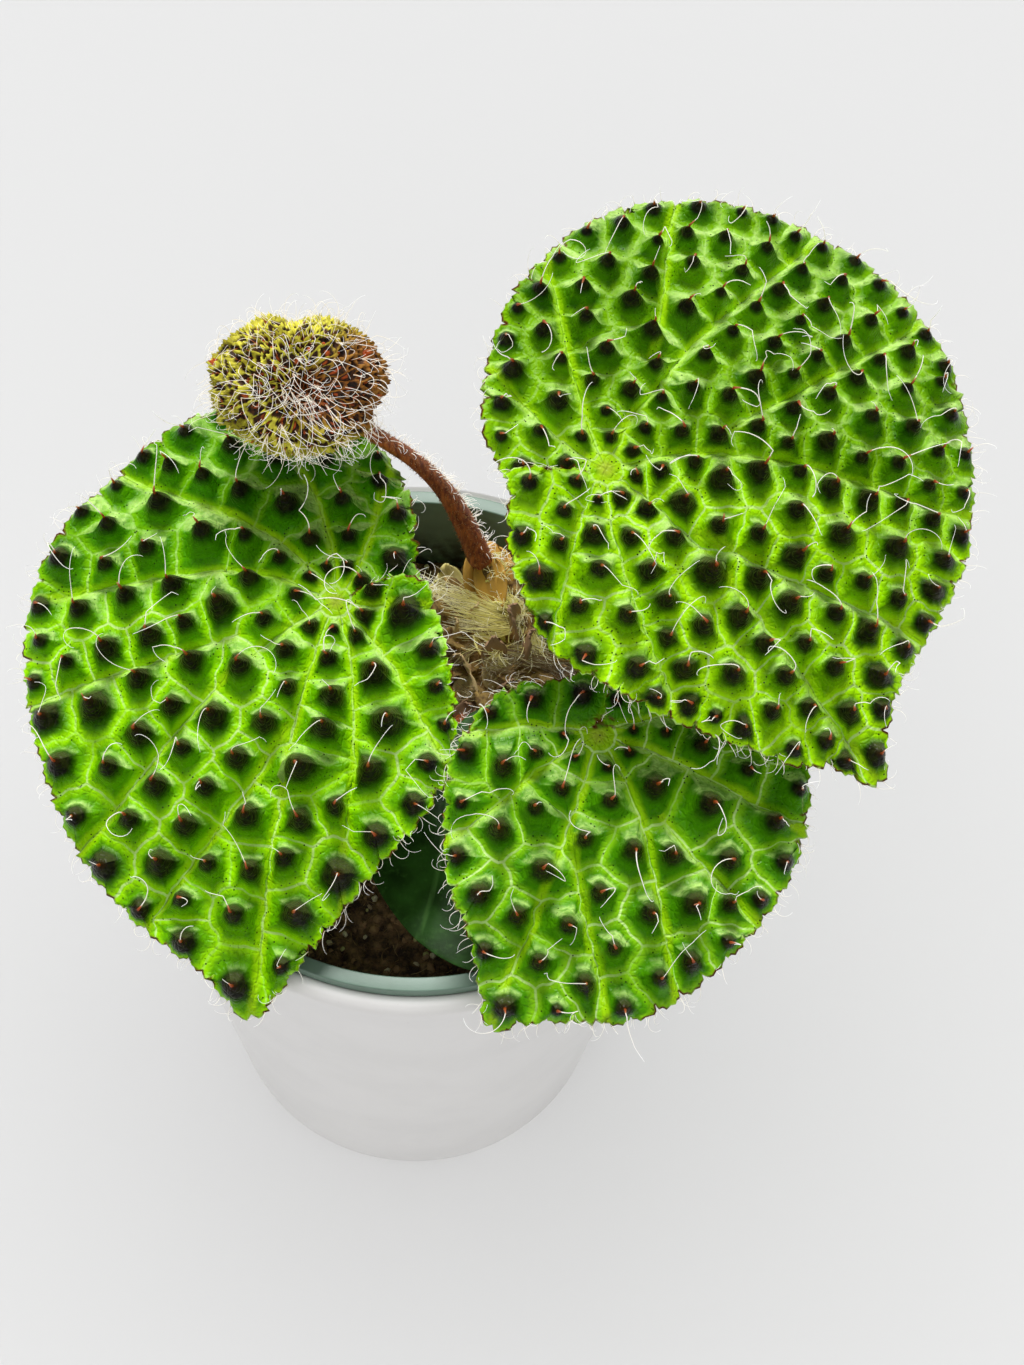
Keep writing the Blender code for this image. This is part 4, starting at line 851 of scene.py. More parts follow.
def strands(name, paths, radii, end_share, sides=3, foot=None, tints=0.5):
    """Thin closed tubes along paths, with tints. foot thickens the root: (share of the length, times)."""
    count, steps, _ = paths.shape
    radii = np.broadcast_to(np.asarray(radii, float), (count,))
    along = np.linspace(0, 1, steps)
    ways = unit(np.gradient(paths, axis=1))
    side = unit(np.cross(ways, np.array((0.37, 0.61, 0.70))))
    other = np.cross(ways, side)
    width = radii[:, None] * (1 - (1 - end_share) * along[None, :])
    if foot:
        width = width * (1 + (foot[1] - 1) * (1 - smoothstep(foot[0] * 0.5, foot[0], along))[None, :])
    turns = 2 * math.pi * np.arange(sides) / sides
    ring = side[:, :, None] * np.cos(turns)[:, None] + other[:, :, None] * np.sin(turns)[:, None]
    points = (paths[:, :, None] + ring * width[:, :, None, None]).reshape(-1, 3)
    starts = (np.arange(count) * steps * sides)[:, None, None] + (np.arange(steps - 1) * sides)[None, :, None]
    here, after = np.arange(sides), (np.arange(sides) + 1) % sides
    quads = np.stack([starts + here, starts + after, starts + sides + after, starts + sides + here], axis=-1)
    faces = [tuple(face) for face in quads.reshape(-1, 4).tolist()]
    last = (steps - 1) * sides
    for base in range(0, count * steps * sides, steps * sides):
        faces.append(tuple(base + k for k in range(sides - 1, -1, -1)))
        faces.append(tuple(base + last + k for k in range(sides)))
    share = np.broadcast_to(along[None, :, None], (count, steps, sides)).ravel()
    tint = np.repeat(np.broadcast_to(np.asarray(tints, float), (count,)), steps * sides)
    return mesh_piece(name, points, faces, {"along": share, "tint": tint})


def sides_round(loop):
    """A loop's sides, each as its start and its end."""
    return list(zip(loop, loop[1:] + loop[:1]))


class BumpyBlade:
    """The cells of a bumpy leaf, read from its solid: tips, loops of corners and outline, in millimetres."""

    def __init__(self, node):
        leaf = BUMPY_LEAVES[node]
        self.origin = np.array(leaf["junction"])
        normal, tip_way = Vector(leaf["normal"]).normalized(), Vector(leaf["tip_way"])
        along = (tip_way - normal * tip_way.dot(normal)).normalized()
        self.normal = np.array(normal)
        self.axes = np.array((along, normal.cross(along), normal))
        self.veins = leaf["veins"]
        self.read(node, normal)

    def read(self, node, normal):
        """Find each bump's tip in the solid's upper face, and the loop of corners round its cell."""
        shape = bmesh.new()
        shape.from_mesh(frame["nodes"][node].data)
        bmesh.ops.remove_doubles(shape, verts=shape.verts, dist=0.01 * MM)
        shape.normal_update()
        shape.verts.ensure_lookup_table()
        above = corners_above(shape, normal)
        upper = [face for face in shape.faces if above.issuperset(face.verts)]
        offsets = [corner.co / MM - Vector(self.origin) for corner in shape.verts]
        heights = [offset.dot(normal) for offset in offsets]
        round_corner = {}
        for face in upper:
            for corner in face.verts:
                round_corner.setdefault(corner.index, []).append(face)
        pad = min(round_corner, key=lambda k: offsets[k].length)
        self.corners = {k: np.array(shape.verts[k].co / MM) for k in round_corner}
        tips, owner = [], {}
        for tip, faces in round_corner.items():
            ring = {corner.index for face in faces for corner in face.verts} - {tip}
            is_tip = len(faces) == BUMP_SIDES and max(heights[k] for k in ring) < heights[tip] - 0.15
            if not is_tip and tip != pad:
                continue
            for k in {tip} if tip == pad else ring | {tip}:
                for face in round_corner[k]:
                    owner.setdefault(face, len(tips))
            tips.append(tip)
        fill_gaps(upper, owner)
        self.cells = []
        every_side = set()
        for number, tip in enumerate(tips):
            loop = outline_loop([face for face, at in owner.items() if at == number])
            if loop:
                self.cells.append((tip, loop, tip == pad))
                every_side.update(sides_round(loop))
        self.margin = {side for side in every_side if side[::-1] not in every_side}
        shape.free()

    def plan(self, points):
        """Points in the leaf's own frame: along the midrib, across it, and height over its plane."""
        return (np.asarray(points) - self.origin) @ self.axes.T

    def lay(self, plan):
        """Points of the leaf's own frame back in the plant's frame."""
        return np.asarray(plan) @ self.axes + self.origin


def corners_above(shape, normal):
    """Corners of a blade's upper side: each has its twin below it, at one of the blade's thicknesses."""
    tree = kdtree.KDTree(len(shape.verts))
    for corner in shape.verts:
        tree.insert(corner.co, corner.index)
    tree.balance()
    found = set()
    for corner in shape.verts:
        gaps = [tree.find(corner.co - normal * depth * MM)[2] for depth in BLADE_DEPTHS]
        if min(gaps) < 0.02 * MM:
            found.add(corner)
    return found


def fill_gaps(upper, owner):
    """Give each upper face that no bump owns to the neighbour across its longest side."""
    left = [face for face in upper if face not in owner]
    while left:
        found = {}
        for face in left:
            for edge in sorted(face.edges, key=lambda edge: -edge.calc_length()):
                beside = [other for other in edge.link_faces if other in owner]
                if beside:
                    found[face] = owner[beside[0]]
                    break
        if not found:
            return
        owner.update(found)
        left = [face for face in left if face not in owner]


def outline_loop(faces):
    """The walk round a set of faces. A corner where the set touches itself comes twice in it."""
    after = {}
    for face in faces:
        round_face = sides_round([corner.index for corner in face.verts])
        after.update(sides_round(round_face))
    sides = {edge for edge in after if edge[::-1] not in after}
    edge = start = max(sides)
    loop = []
    while len(loop) <= len(sides):
        loop.append(edge[0])
        edge = after[edge]
        while edge not in sides:
            edge = after[edge[::-1]]
        if edge == start:
            return loop
    return []


def vein_distances(blade, plan):
    """Distance from each place of the leaf to its nearest main vein, in millimetres."""
    edge = blade.plan([blade.corners[a] for a, _ in blade.margin])
    edge = edge[np.argsort(np.arctan2(edge[:, 1], edge[:, 0]))]
    turns, reach = np.arctan2(edge[:, 1], edge[:, 0]), np.hypot(edge[:, 0], edge[:, 1])
    distance = np.hypot(plan[:, 0], plan[:, 1])
    sway = np.array([noise.noise(Vector((x * 0.11, y * 0.11, 3.0))) for x, y, _ in plan])
    angle = np.arctan2(plan[:, 1], plan[:, 0]) + 1.1 * sway / np.maximum(distance, 8.0)
    share = np.minimum(1.0, distance / np.interp(angle, turns, reach, period=2 * math.pi))
    far = 99.0
    nearest = np.full(len(plan), far)
    for start, end, leaves_at in blade.veins:
        run = np.clip((share - leaves_at) / (1 - leaves_at), 0, 1)
        line = np.radians(end + (start - end) * (1 - run) ** 1.6)
        off = np.abs((angle - line + math.pi) % (2 * math.pi) - math.pi)
        away = np.where((share >= leaves_at) & (off < 1.2), np.sin(np.minimum(off, 1.2)) * distance, far)
        nearest = np.minimum(nearest, away)
    return nearest


def bump_profile(t):
    """Height of a bump as a share of its full height, at a share t of the way from its tip to its foot."""
    steep = np.clip(1 - (t / CAP_REACH) ** 2, 0, 1) ** 1.5
    return CAP_SHARE * steep + (1 - CAP_SHARE) * (1 - t) + NIPPLE * math.exp(-t / 0.07)


def tooth(at, length, share):
    """How far a leaf's edge stands out at a place along it: lobes with sharp, uneven teeth on them."""
    lobe = 0.8 * math.sin(math.pi * share)
    turn = (share * max(1, round(length / TOOTH_WIDTH)) + 0.15 * noise.noise(Vector((at, 0.0, 2.0)))) % 1.0
    point = turn / 0.7 if turn < 0.7 else (1 - turn) / 0.3
    fine = 0.16 * noise.noise(Vector((at * 2.7, 1.0, 0.0)))
    return lobe + (0.75 + 0.5 * noise.noise(Vector((at * 0.4, 0.0, 0.0)))) * (point - 0.35) + fine


class LeafMesh:
    """A bumpy leaf's points and faces as they grow, with the numbers that its skin reads."""

    def __init__(self, blade):
        settings = bpy.context.scene.begonia_leaf
        self.blade = blade
        self.step, self.thickness = settings.border_step / MM, settings.thickness / MM
        self.edge_thickness = settings.edge_thickness / MM
        self.points, self.faces = [], []
        self.numbers = {"bump": [], "net": [], "tint": [], "under": []}
        self.cap_scale = 1.0
        self.corner_at, self.side_at, self.below_at = {}, {}, {}
        self.margin = set()

    def add(self, at, t, distance, shade, under=0.0, flat=False):
        """Add a point at a share t of the way from a bump's tip to the net, with its distance to the net."""
        self.points.append(at)
        cap = 1.0 if flat else min(1.0, t / self.cap_scale)
        for values, value in zip(self.numbers.values(), (cap, distance, shade, under)):
            values.append(value)
        return len(self.points) - 1

    def corner(self, k):
        """The point at one of the solid's corners."""
        if k not in self.corner_at:
            self.corner_at[k] = self.add(self.blade.corners[k], 1.0, 0.0, 0.5)
        return self.corner_at[k]

    def side(self, a, b):
        """The points of a cell's side from corner a towards b, without b: a wavy crease or a toothed edge."""
        key = (min(a, b), max(a, b))
        if key not in self.side_at:
            self.side_at[key] = self.new_side(key, (a, b))
        found = self.side_at[key]
        return [self.corner(a)] + (found if a == key[0] else found[::-1])

    def new_side(self, key, way_round):
        """Add the points between two corners."""
        blade = self.blade
        start, end = blade.corners[key[0]], blade.corners[key[1]]
        length = np.linalg.norm(end - start)
        count = max(2, round(length / self.step))
        out = np.cross((end - start) / max(length, 1e-6), blade.normal) * (1 if way_round == key else -1)
        found = []
        for k in range(1, count):
            share = k / count
            at = start + (end - start) * share
            hump = math.sin(math.pi * share)
            swing = noise.noise(Vector(at) * 0.33) * 1.1 * hump
            lift = -0.25 * hump
            if way_round in blade.margin:
                swing = tooth(start[0] + start[1] + share * length, length, share)
                lift += 0.5 * noise.noise(Vector(at) * 0.4)
            found.append(self.add(at + out * swing + blade.normal * lift, 1.0, 0.0, 0.5))
        return found

    def border(self, loop):
        """The points round a cell."""
        found = []
        for a, b in sides_round(loop):
            part = self.side(a, b)
            if (a, b) in self.blade.margin:
                self.margin.update(part + [self.corner(b)])
            found += part
        return found

    def below(self, number):
        """The underside's point under a point of the upper side."""
        if number not in self.below_at:
            depth = self.edge_thickness if number in self.margin else self.thickness
            at = self.points[number] - self.blade.normal * depth
            self.below_at[number] = self.add(at, 1.0, 0.0, 0.5, 1.0)
        return self.below_at[number]

    def band(self, inner, outer, down=False):
        """Faces from a ring of points, or from one point, out to the next ring."""
        for k, at in enumerate(outer):
            after = (k + 1) % len(outer)
            ends = (inner,) if isinstance(inner, int) else (inner[k], inner[after])
            face = (ends[0], at, outer[after], *ends[1:])
            self.faces.append((face[0], *face[:0:-1]) if down else face)

    def add_cell(self, cell, border, draw):
        """One cell: its bump or flat pad, its plain underside and its rim. Returns a bump's tip, or None."""
        tip, loop, is_pad = cell
        blade = self.blade
        shade = draw.random()
        top = blade.corners[tip]
        ring = blade.plan([self.points[k] for k in border])
        middle = blade.plan([top])[0]
        spread = ring[:, :2] - middle[:2]
        lengths = np.hypot(spread[:, 0], spread[:, 1])
        mean, floor = lengths.mean(), ring[:, 2].mean()
        rise = 0.0 if is_pad else max(0.0, middle[2] - floor)
        lean = np.array((draw.uniform(-0.5, 0.5), draw.uniform(-0.5, 0.5))) * 0.1 * mean
        away = np.linalg.norm(middle[:2])
        lean += middle[:2] / max(away, 1.0) * LEAN * mean * float(smoothstep(4.0, 30.0, away))
        lean *= 0.0 if is_pad else 1.0
        behind = top[1] - blade.origin[1]
        self.cap_scale = float(1.04 - 0.3 * smoothstep(-8.0, 26.0, behind)) * draw.uniform(0.68, 1.14)
        wobble = [1 + 0.05 * noise.noise(Vector((k * 0.35, shade * 20, 1.0))) for k in range(len(border))]

        def ring_at(t, drop=0.0):
            reach = t * (mean * np.array(wobble) * (1 - t**1.5) + lengths * t**1.5)
            flat = middle[:2] + spread / lengths[:, None] * reach[:, None] + lean * (1 - t) ** 2
            height = floor + (ring[:, 2] - floor) * t * t + rise * bump_profile(t) - drop
            return blade.lay(np.column_stack([flat, height]))

        peak = blade.lay([(*(middle[:2] + lean), floor + rise * (1 + NIPPLE))])[0]
        inner = self.add(peak, 0.0, mean, shade, 0.0, is_pad)
        for t in RINGS:
            nearby = zip(ring_at(t), lengths)
            outer = [self.add(at, t, (1 - t) * reach, shade, 0.0, is_pad) for at, reach in nearby]
            self.band(inner, outer)
            inner = outer
        self.band(inner, border)
        inner = self.add(peak - blade.normal * self.thickness, 0.0, mean, shade, 1.0)
        for t in LOWER_RINGS:
            outer = [self.add(at, t, (1 - t) * mean, shade, 1.0) for at in ring_at(t, self.thickness)]
            self.band(inner, outer, down=True)
            inner = outer
        self.band(inner, [self.below(k) for k in border], down=True)
        for a, b in sides_round(loop):
            if (a, b) in blade.margin:
                run = self.side(a, b) + [self.corner(b)]
                self.faces += [(self.below(p), self.below(q), q, p) for p, q in zip(run, run[1:])]
        return None if is_pad else peak


def build_bumpy_leaf(node, material):
    """One bumpy leaf: the solid's cells with round caps, a raised net between them and a toothed edge."""
    blade = BumpyBlade(node)
    leaf = LeafMesh(blade)
    draw = random.Random(BUMPY_LEAVES[node]["seed"])
    borders = [leaf.border(loop) for _, loop, _ in blade.cells]
    tips = [leaf.add_cell(cell, border, draw) for cell, border in zip(blade.cells, borders)]
    edge = sorted(leaf.margin)
    points = np.array(leaf.points)
    tree = kdtree.KDTree(len(edge))
    for k, number in enumerate(edge):
        tree.insert(points[number], k)
    tree.balance()
    margin = np.array([tree.find(at)[2] for at in points])
    plan = blade.plan(points)
    centre = np.hypot(plan[:, 0], plan[:, 1])
    vein = vein_distances(blade, plan)
    groove = VEIN_DEPTH * np.exp(-((vein / VEIN_REACH) ** 2)) * smoothstep(0.0, 6.0, margin)
    points = points - np.outer(groove * smoothstep(0.0, 5.0, centre), blade.normal)
    front = smoothstep(0.0, 1.0, (blade.origin[1] + 24 - points[:, 1]) / 44)
    numbers = leaf.numbers | {"margin": margin, "vein": vein, "centre": centre, "front": front}
    piece = mesh_piece(BUMPY_LEAVES[node]["piece"], points, leaf.faces, numbers)
    ways = np.empty(len(points) * 3, dtype=np.float32)
    piece.data.vertex_normals.foreach_get("vector", ways)
    # painted highlight: how far each point faces the key light, which the skin paints paler
    to_light = np.array((0.12, 0.94, 0.32))
    add_numbers(piece.data, {"painted_highlight": smoothstep(0.14, 0.52, ways.reshape(-1, 3) @ to_light - 0.1)})
    finish_piece(piece, material, "leaf_bumpy", node)
    build_leaf_hairs(node, blade, np.array([tip for tip in tips if tip is not None]), points, edge)


def build_leaf_hairs(node, blade, tips, points, edge):
    """The long hair on each bump, with its thick red foot, and the fringe of fine hairs at the edge."""
    settings = bpy.context.scene.begonia_hair
    radius = settings.radius / MM
    rng = np.random.default_rng(BUMPY_LEAVES[node]["seed"] + 50)
    name = BUMPY_LEAVES[node]["piece"]
    roots = tips - blade.normal * 0.15
    count = len(roots)
    ways = unit(blade.normal + rng.normal(size=(count, 3)) * 0.32)
    lengths = settings.tip_length / MM * rng.uniform(0.35, 1.75, count)
    paths = curly_paths(rng, roots, ways, lengths, rng.uniform(0.04, 0.34, count), 18, droop=0.05, kinks=0.1)
    paths = above_leaf(blade, paths, 0.6)
    hairs = strands(name + "_hairs", paths, radius * rng.uniform(0.5, 0.85, count), 0.4)
    finish_piece(hairs, "white leaf hair", "leaf_bumpy")
    first = unit(paths[:, 1:2] - paths[:, :1])
    feet = np.concatenate([paths[:, :1] + first * reach for reach in (0.0, 0.7, 1.5)], axis=1)
    stubs = strands(name + "_hair_feet", feet, rng.uniform(0.26, 0.36, count), 0.35, sides=6)
    finish_piece(stubs, "red hair foot", "leaf_bumpy")
    chosen = points[rng.choice(edge, size=min(len(edge), settings.fringe_hairs), replace=False)]
    count = len(chosen)
    out = chosen - blade.origin
    out = unit(out - np.outer(out @ blade.normal, blade.normal))
    ways = unit(out + rng.normal(size=(count, 3)) * 0.45 - blade.normal * 0.15)
    paths = curly_paths(rng, chosen, ways, rng.uniform(1.2, 5.5, count), rng.uniform(0.2, 0.7, count), 10)
    finish_piece(strands(name + "_fringe", paths, radius * 0.4, 0.4), "white leaf hair", "leaf_bumpy")


def above_leaf(blade, paths, clearance):
    """Keep a hair over its own bump's foot, so that it lies on the leaf and doesn't dive through it."""
    plan = blade.plan(paths.reshape(-1, 3)).reshape(paths.shape)
    curve = -(plan[:, :, 0] ** 2 + plan[:, :, 1] ** 2) / (2 * DOME_RADIUS)
    floor = plan[:, :1, 2] - BUMP_RISE + (curve - curve[:, :1])
    height = plan[:, :, 2]
    low = height < floor + clearance
    plan[:, :, 2] = np.where(low, floor + clearance - 0.25 * (floor + clearance - height), height)
    return blade.lay(plan.reshape(-1, 3)).reshape(paths.shape)


def copied_solid(node, name, levels):
    """A copy of a solid's mesh, merged, with its triangles paired, smoothed by subdivision."""
    piece = bpy.data.objects.new(name, frame["nodes"][node].data.copy())
    piece.data.name = name
    bpy.context.scene.collection.objects.link(piece)
    start_edit(piece)
    bpy.ops.mesh.remove_doubles(threshold=0.01 * MM)
    bpy.ops.mesh.tris_convert_to_quads(face_threshold=math.radians(60), shape_threshold=math.radians(60))
    end_edit()
    smooth = piece.modifiers.new("smooth", "SUBSURF")
    smooth.levels = smooth.render_levels = levels
    bpy.ops.object.modifier_apply(modifier="smooth")
    piece.data.shade_smooth()
    return piece


def surface_points(piece, rng, count, keep=None):
    """Random places on a mesh with their normals, in millimetres, spread by area and by what keep favours."""
    mesh = piece.data
    mesh.calc_loop_triangles()
    corners = np.array([corner.co[:] for corner in mesh.vertices]) / MM
    triangles = np.array([triangle.vertices[:] for triangle in mesh.loop_triangles])
    a, b, c = (corners[triangles[:, k]] for k in range(3))
    cross = np.cross(b - a, c - a)
    area = np.linalg.norm(cross, axis=1)
    if keep:
        area = area * keep((a + b + c) / 3, unit(cross))
    chosen = rng.choice(len(triangles), size=count, p=area / area.sum())
    u, v = rng.uniform(size=(2, count, 1))
    flip = u + v > 1
    u, v = np.where(flip, 1 - u, u), np.where(flip, 1 - v, v)
    places = a[chosen] + (b - a)[chosen] * u + (c - a)[chosen] * v
    return places, unit(cross)[chosen]


def build_stalks():
    """The leaf stalks, round and hairy. The furled leaf's stalk is the one in full view, and the hairiest."""
    skin = stalk_skin()
    radius = bpy.context.scene.begonia_hair.radius / MM

    def lit_side(at, way):
        return smoothstep(0.2, 0.9, way @ np.array((0.75, 0.6, 0.28)))

    for node in sorted(name for name in frame["nodes"] if name.startswith("petiole_")):
        end = node.split("_")[1]
        rng = np.random.default_rng(len(node))
        stalk = copied_solid(node, "stalk_" + end, 2)
        felt_count, hair_count = (950, 170) if end == "furled" else (180, 70)
        for suffix, material, count, keep, lengths, steps, width, end_share in (
            ("felt", "tan felt", felt_count, None, (0.25, 0.7), 4, 0.06, 0.5),
            ("hairs", "white leaf hair", hair_count, lit_side, (1.0, 3.6), 10, radius * 0.5, 0.4),
        ):
            roots, normals = surface_points(stalk, rng, count, keep)
            ways = unit(normals + rng.normal(size=roots.shape) * 0.4)
            paths = curly_paths(rng, roots, ways, rng.uniform(*lengths, count), 0.5, steps)
            finish_piece(strands(f"stalk_{end}_{suffix}", paths, width, end_share), material, "stalk_skin")
        finish_piece(stalk, skin, "stalk_skin", node)


def build_smooth_leaf():
    """The smooth leaf: thin, cupped, with sunken veins."""
    leaf = copied_solid("blade_smooth", "leaf_smooth", 3)
    distances = []
    for corner in leaf.data.vertices:
        at = corner.co / MM - SMOOTH_JUNCTION
        turn, reach = math.degrees(math.atan2(at.y, at.x)), math.hypot(at.x, at.y)
        away = min(abs((turn - vein - 4 * math.sin(reach * 0.06) + 180) % 360 - 180) for vein in SMOOTH_VEINS)
        distance = math.sin(math.radians(min(away, 60.0))) * reach
        distances.append(distance)
        dip = 0.35 * math.exp(-((distance / 0.9) ** 2)) * min(1.0, reach / 10)
        corner.co.z += (0.3 * noise.noise(corner.co / MM * 0.25) - dip) * MM
    add_numbers(leaf.data, {"vein": distances})
    finish_piece(leaf, smooth_leaf_skin(), "leaf_smooth", "blade_smooth")


def furled_radius(direction):
    """Distance of the furled leaf's surface from its middle: an oval with a hollow side and a fold."""
    x, y, z = (c / r for c, r in zip(direction, FURLED_RADII))
    oval = 1 / math.sqrt(x * x + y * y + z * z)
    dish = 0.38 * float(smoothstep(0.62, 0.98, direction.dot(FURLED_MOUTH)))
    fold = 0.12 * math.exp(-(((direction.dot(FURLED_FOLD) - 0.55) / 0.16) ** 2))
    return oval * (1 - dish - fold + 0.07 * noise.noise(direction * 2.3))


def furled_places(ways, lift):
    """Places on the furled leaf in some directions from its middle, lifted off its surface."""
    return np.array([FURLED_AT + Vector(way) * (furled_radius(Vector(way)) + lift) for way in ways])


def build_furled_leaf():
    """The furled young leaf: a raised honeycomb net round dark cells, folded, under flowing white hairs."""
    rng = np.random.default_rng(77)
    deselect_all()
    bpy.ops.mesh.primitive_ico_sphere_add(subdivisions=7, radius=1.0)
    leaf = bpy.context.object
    leaf.name = leaf.data.name = "leaf_furled"
    spread = 16.0
    tree = kdtree.KDTree(FURLED_CELLS)
    middles = []
    for k in range(FURLED_CELLS):
        z = 1 - (2 * k + 1) / FURLED_CELLS
        turn, flat = k * GOLDEN_TURN, math.sqrt(1 - z * z)
        way = Vector((flat * math.cos(turn), flat * math.sin(turn), z))
        way = (way + Vector(rng.normal(size=3) * 0.026)).normalized()
        middles.append(way)
        tree.insert(way * spread, k)
    tree.balance()
    numbers = {"net": [], "inner": [], "foot": []}
    for corner in leaf.data.vertices:
        way = corner.co.normalized()
        fine = way * 9
        wander = Vector((noise.noise(fine), noise.noise(fine + Vector((5, 0, 0))), noise.noise(way * 9.5)))
        nearest, second = (found[2] for found in tree.find_n(way * spread + wander * 1.1, 2))
        edge = (second - nearest) / 2
        hollow = float(smoothstep(0.72, 0.93, way.dot(FURLED_HEART)))
        lobe = float(smoothstep(0.55, 0.9, way.dot(FURLED_LOBE)))
        ragged = 0.7 * noise.noise(way * 26) + 0.4 * noise.noise(way * 50)
        ridge = 2.1 * math.exp(-((edge / 0.24) ** 2)) * (1 + 0.6 * ragged) * (1 - 0.4 * hollow)
        tip = 0.8 * math.exp(-((nearest / 0.4) ** 2))
        rise = ridge + tip - 1.6 + 0.3 * ragged - 1.6 * hollow
        corner.co = (FURLED_AT + way * (furled_radius(way) + rise)) * MM
        for values, value in zip(numbers.values(), (edge, max(hollow, 0.9 * lobe), nearest)):
            values.append(value)
    add_numbers(leaf.data, numbers)
    leaf.data.shade_smooth()
    finish_piece(leaf, young_leaf_skin(), "leaf_young", "furled_leaf")
    build_furled_hairs(rng, np.array(middles))


def build_furled_hairs(rng, middles):
    """Hairs of the furled leaf: a curly fringe all over, and long ones that flow across its fold."""
    settings = bpy.context.scene.begonia_hair
    radius = settings.radius / MM
    chosen = middles[rng.integers(0, len(middles), settings.furled_hairs)]
    count = len(chosen)
    ways = unit(chosen + rng.normal(size=chosen.shape) * 0.03)
    lean = unit(ways + rng.normal(size=ways.shape) * 0.5)
    lengths, curls = rng.uniform(3.0, 10.0, count), rng.uniform(0.12, 0.5, count)
    paths = curly_paths(rng, furled_places(ways, -0.6), lean, lengths, curls, 12, kinks=0.1)
    fringe = strands("leaf_furled_fringe", paths, radius * 0.36, 0.4, foot=(0.1, 2.0))
    finish_piece(fringe, "red-footed hair", "leaf_young")
    seen = middles[middles @ np.array(FURLED_HEART) > 0.35]
    chosen = seen[rng.integers(0, len(seen), settings.flowing_hairs)]
    count = len(chosen)
    flow = np.array(FURLED_FLOW) + rng.normal(size=chosen.shape) * 0.35
    lean = unit(chosen * 0.75 + unit(flow) * 0.8)
    lengths, curls = rng.uniform(6.0, 15.0, count), rng.uniform(0.02, 0.16, count)
    paths = curly_paths(rng, furled_places(chosen, 0.2), lean, lengths, curls, 14, kinks=0.05)
    hairs = strands("leaf_furled_hairs", round_leaf(paths), radius * 0.45, 0.45, foot=(0.08, 1.6))
    finish_piece(hairs, "white leaf hair", "leaf_young")


def round_leaf(paths):
    """Bend long hairs over the furled leaf: each stays just outside its surface and follows it round."""
    off = paths - np.array(FURLED_AT)
    reach = np.linalg.norm(off, axis=2)
    ways = off / reach[:, :, None]
    skin = np.array([[furled_radius(Vector(way)) for way in row] for row in ways])
    rise = np.linspace(0.4, 3.2, paths.shape[1])[None, :]
    reach = np.clip(reach, skin + rise * 0.5, skin + rise * 1.5)
    return np.array(FURLED_AT) + ways * reach[:, :, None]


def build_crown():
    """The crown: a dark fibrous heart, tufts and locks of straw-coloured hair, and papery bracts."""
    rng = np.random.default_rng(31)
    heart = copied_solid("crown", "crown_heart", 2)
    ways = [corner.normal.copy() for corner in heart.data.vertices]
    for corner, way in zip(heart.data.vertices, ways):
        at = corner.co / MM
        if at.z > SOIL_LEVEL - 1:
            corner.co += way * (0.8 * noise.noise(at * 0.5) + 0.35 * noise.noise(at * 1.6)) * MM
    husk = plain_organic("dry husk", ("#5E4424", "#A88A4C"), 1.6, 0.8, 0.4)
    finish_piece(heart, husk, "crown_fibre", "crown")
    build_tufts(rng, heart)
    build_locks(rng)
    build_bracts(rng)


def build_tufts(rng, heart):
    """Tufts of hair on the crown: the hairs of a tuft spring from one place, run one way and share a tint."""
    settings = bpy.context.scene.begonia_hair
    tufts = settings.crown_tufts
    roots, normals = surface_points(heart, rng, tufts, lambda at, way: at[:, 2] > SOIL_LEVEL)
    swirl = unit(np.cross(np.array((0.15, -0.2, 1.0)), roots - np.array(CROWN_MIDDLE)))
    turned = rng.choice((-1.0, 1.0), size=(tufts, 1))
    ways = unit(normals * 0.6 + swirl * turned + rng.normal(size=roots.shape) * 0.4)
    number = np.repeat(np.arange(tufts), settings.tuft_hairs)
    count = len(number)
    at = roots[number] + rng.normal(size=(count, 3)) * 0.7
    way = unit(ways[number] + rng.normal(size=(count, 3)) * 0.22)
    lengths = rng.uniform(4.0, 10.0, tufts)[number] * rng.uniform(0.6, 1.25, count)
    paths = curly_paths(rng, at, way, lengths, rng.uniform(0.02, 0.2, count), 9)
    bright = smoothstep(14.0, 27.0, roots[:, 1])
    tints = np.clip(0.9 - 0.9 * bright + rng.normal(size=tufts) * 0.22, 0.0, 1.0)[number]
    finish_piece(strands("crown_hair", paths, 0.15, 0.4, tints=tints), "straw hair", "crown_fibre")


def build_locks(rng):
    """Locks of hair on the crown, each bent over its middle point, with hairs that curl round its line."""
    locks, tints = [], []
    t = np.linspace(0, 1, 12)[None, :, None]
    for root, middle, tip, width, count, tint in CROWN_LOCKS:
        start = np.array(root)
        line = (1 - t) ** 2 * start + 2 * t * (1 - t) * np.array(middle) + t * t * np.array(tip)
        spread = rng.normal(size=(count, 1, 3)) * width * 0.36
        curl = rng.normal(size=(count, 1, 3)) * np.sin(t * rng.uniform(2.0, 7.0, (count, 1, 1)))
        reach = rng.uniform(0.45, 1.1, (count, 1, 1))
        locks.append(start + (line - start) * reach + spread * (0.4 + 0.6 * t) + curl * 1.5 * t)
        tints.append(np.clip(tint + rng.normal(size=count) * 0.3, 0, 1))
    hairs = strands("crown_locks", np.concatenate(locks), 0.11, 0.4, tints=np.concatenate(tints))
    finish_piece(hairs, "straw hair", "crown_fibre")


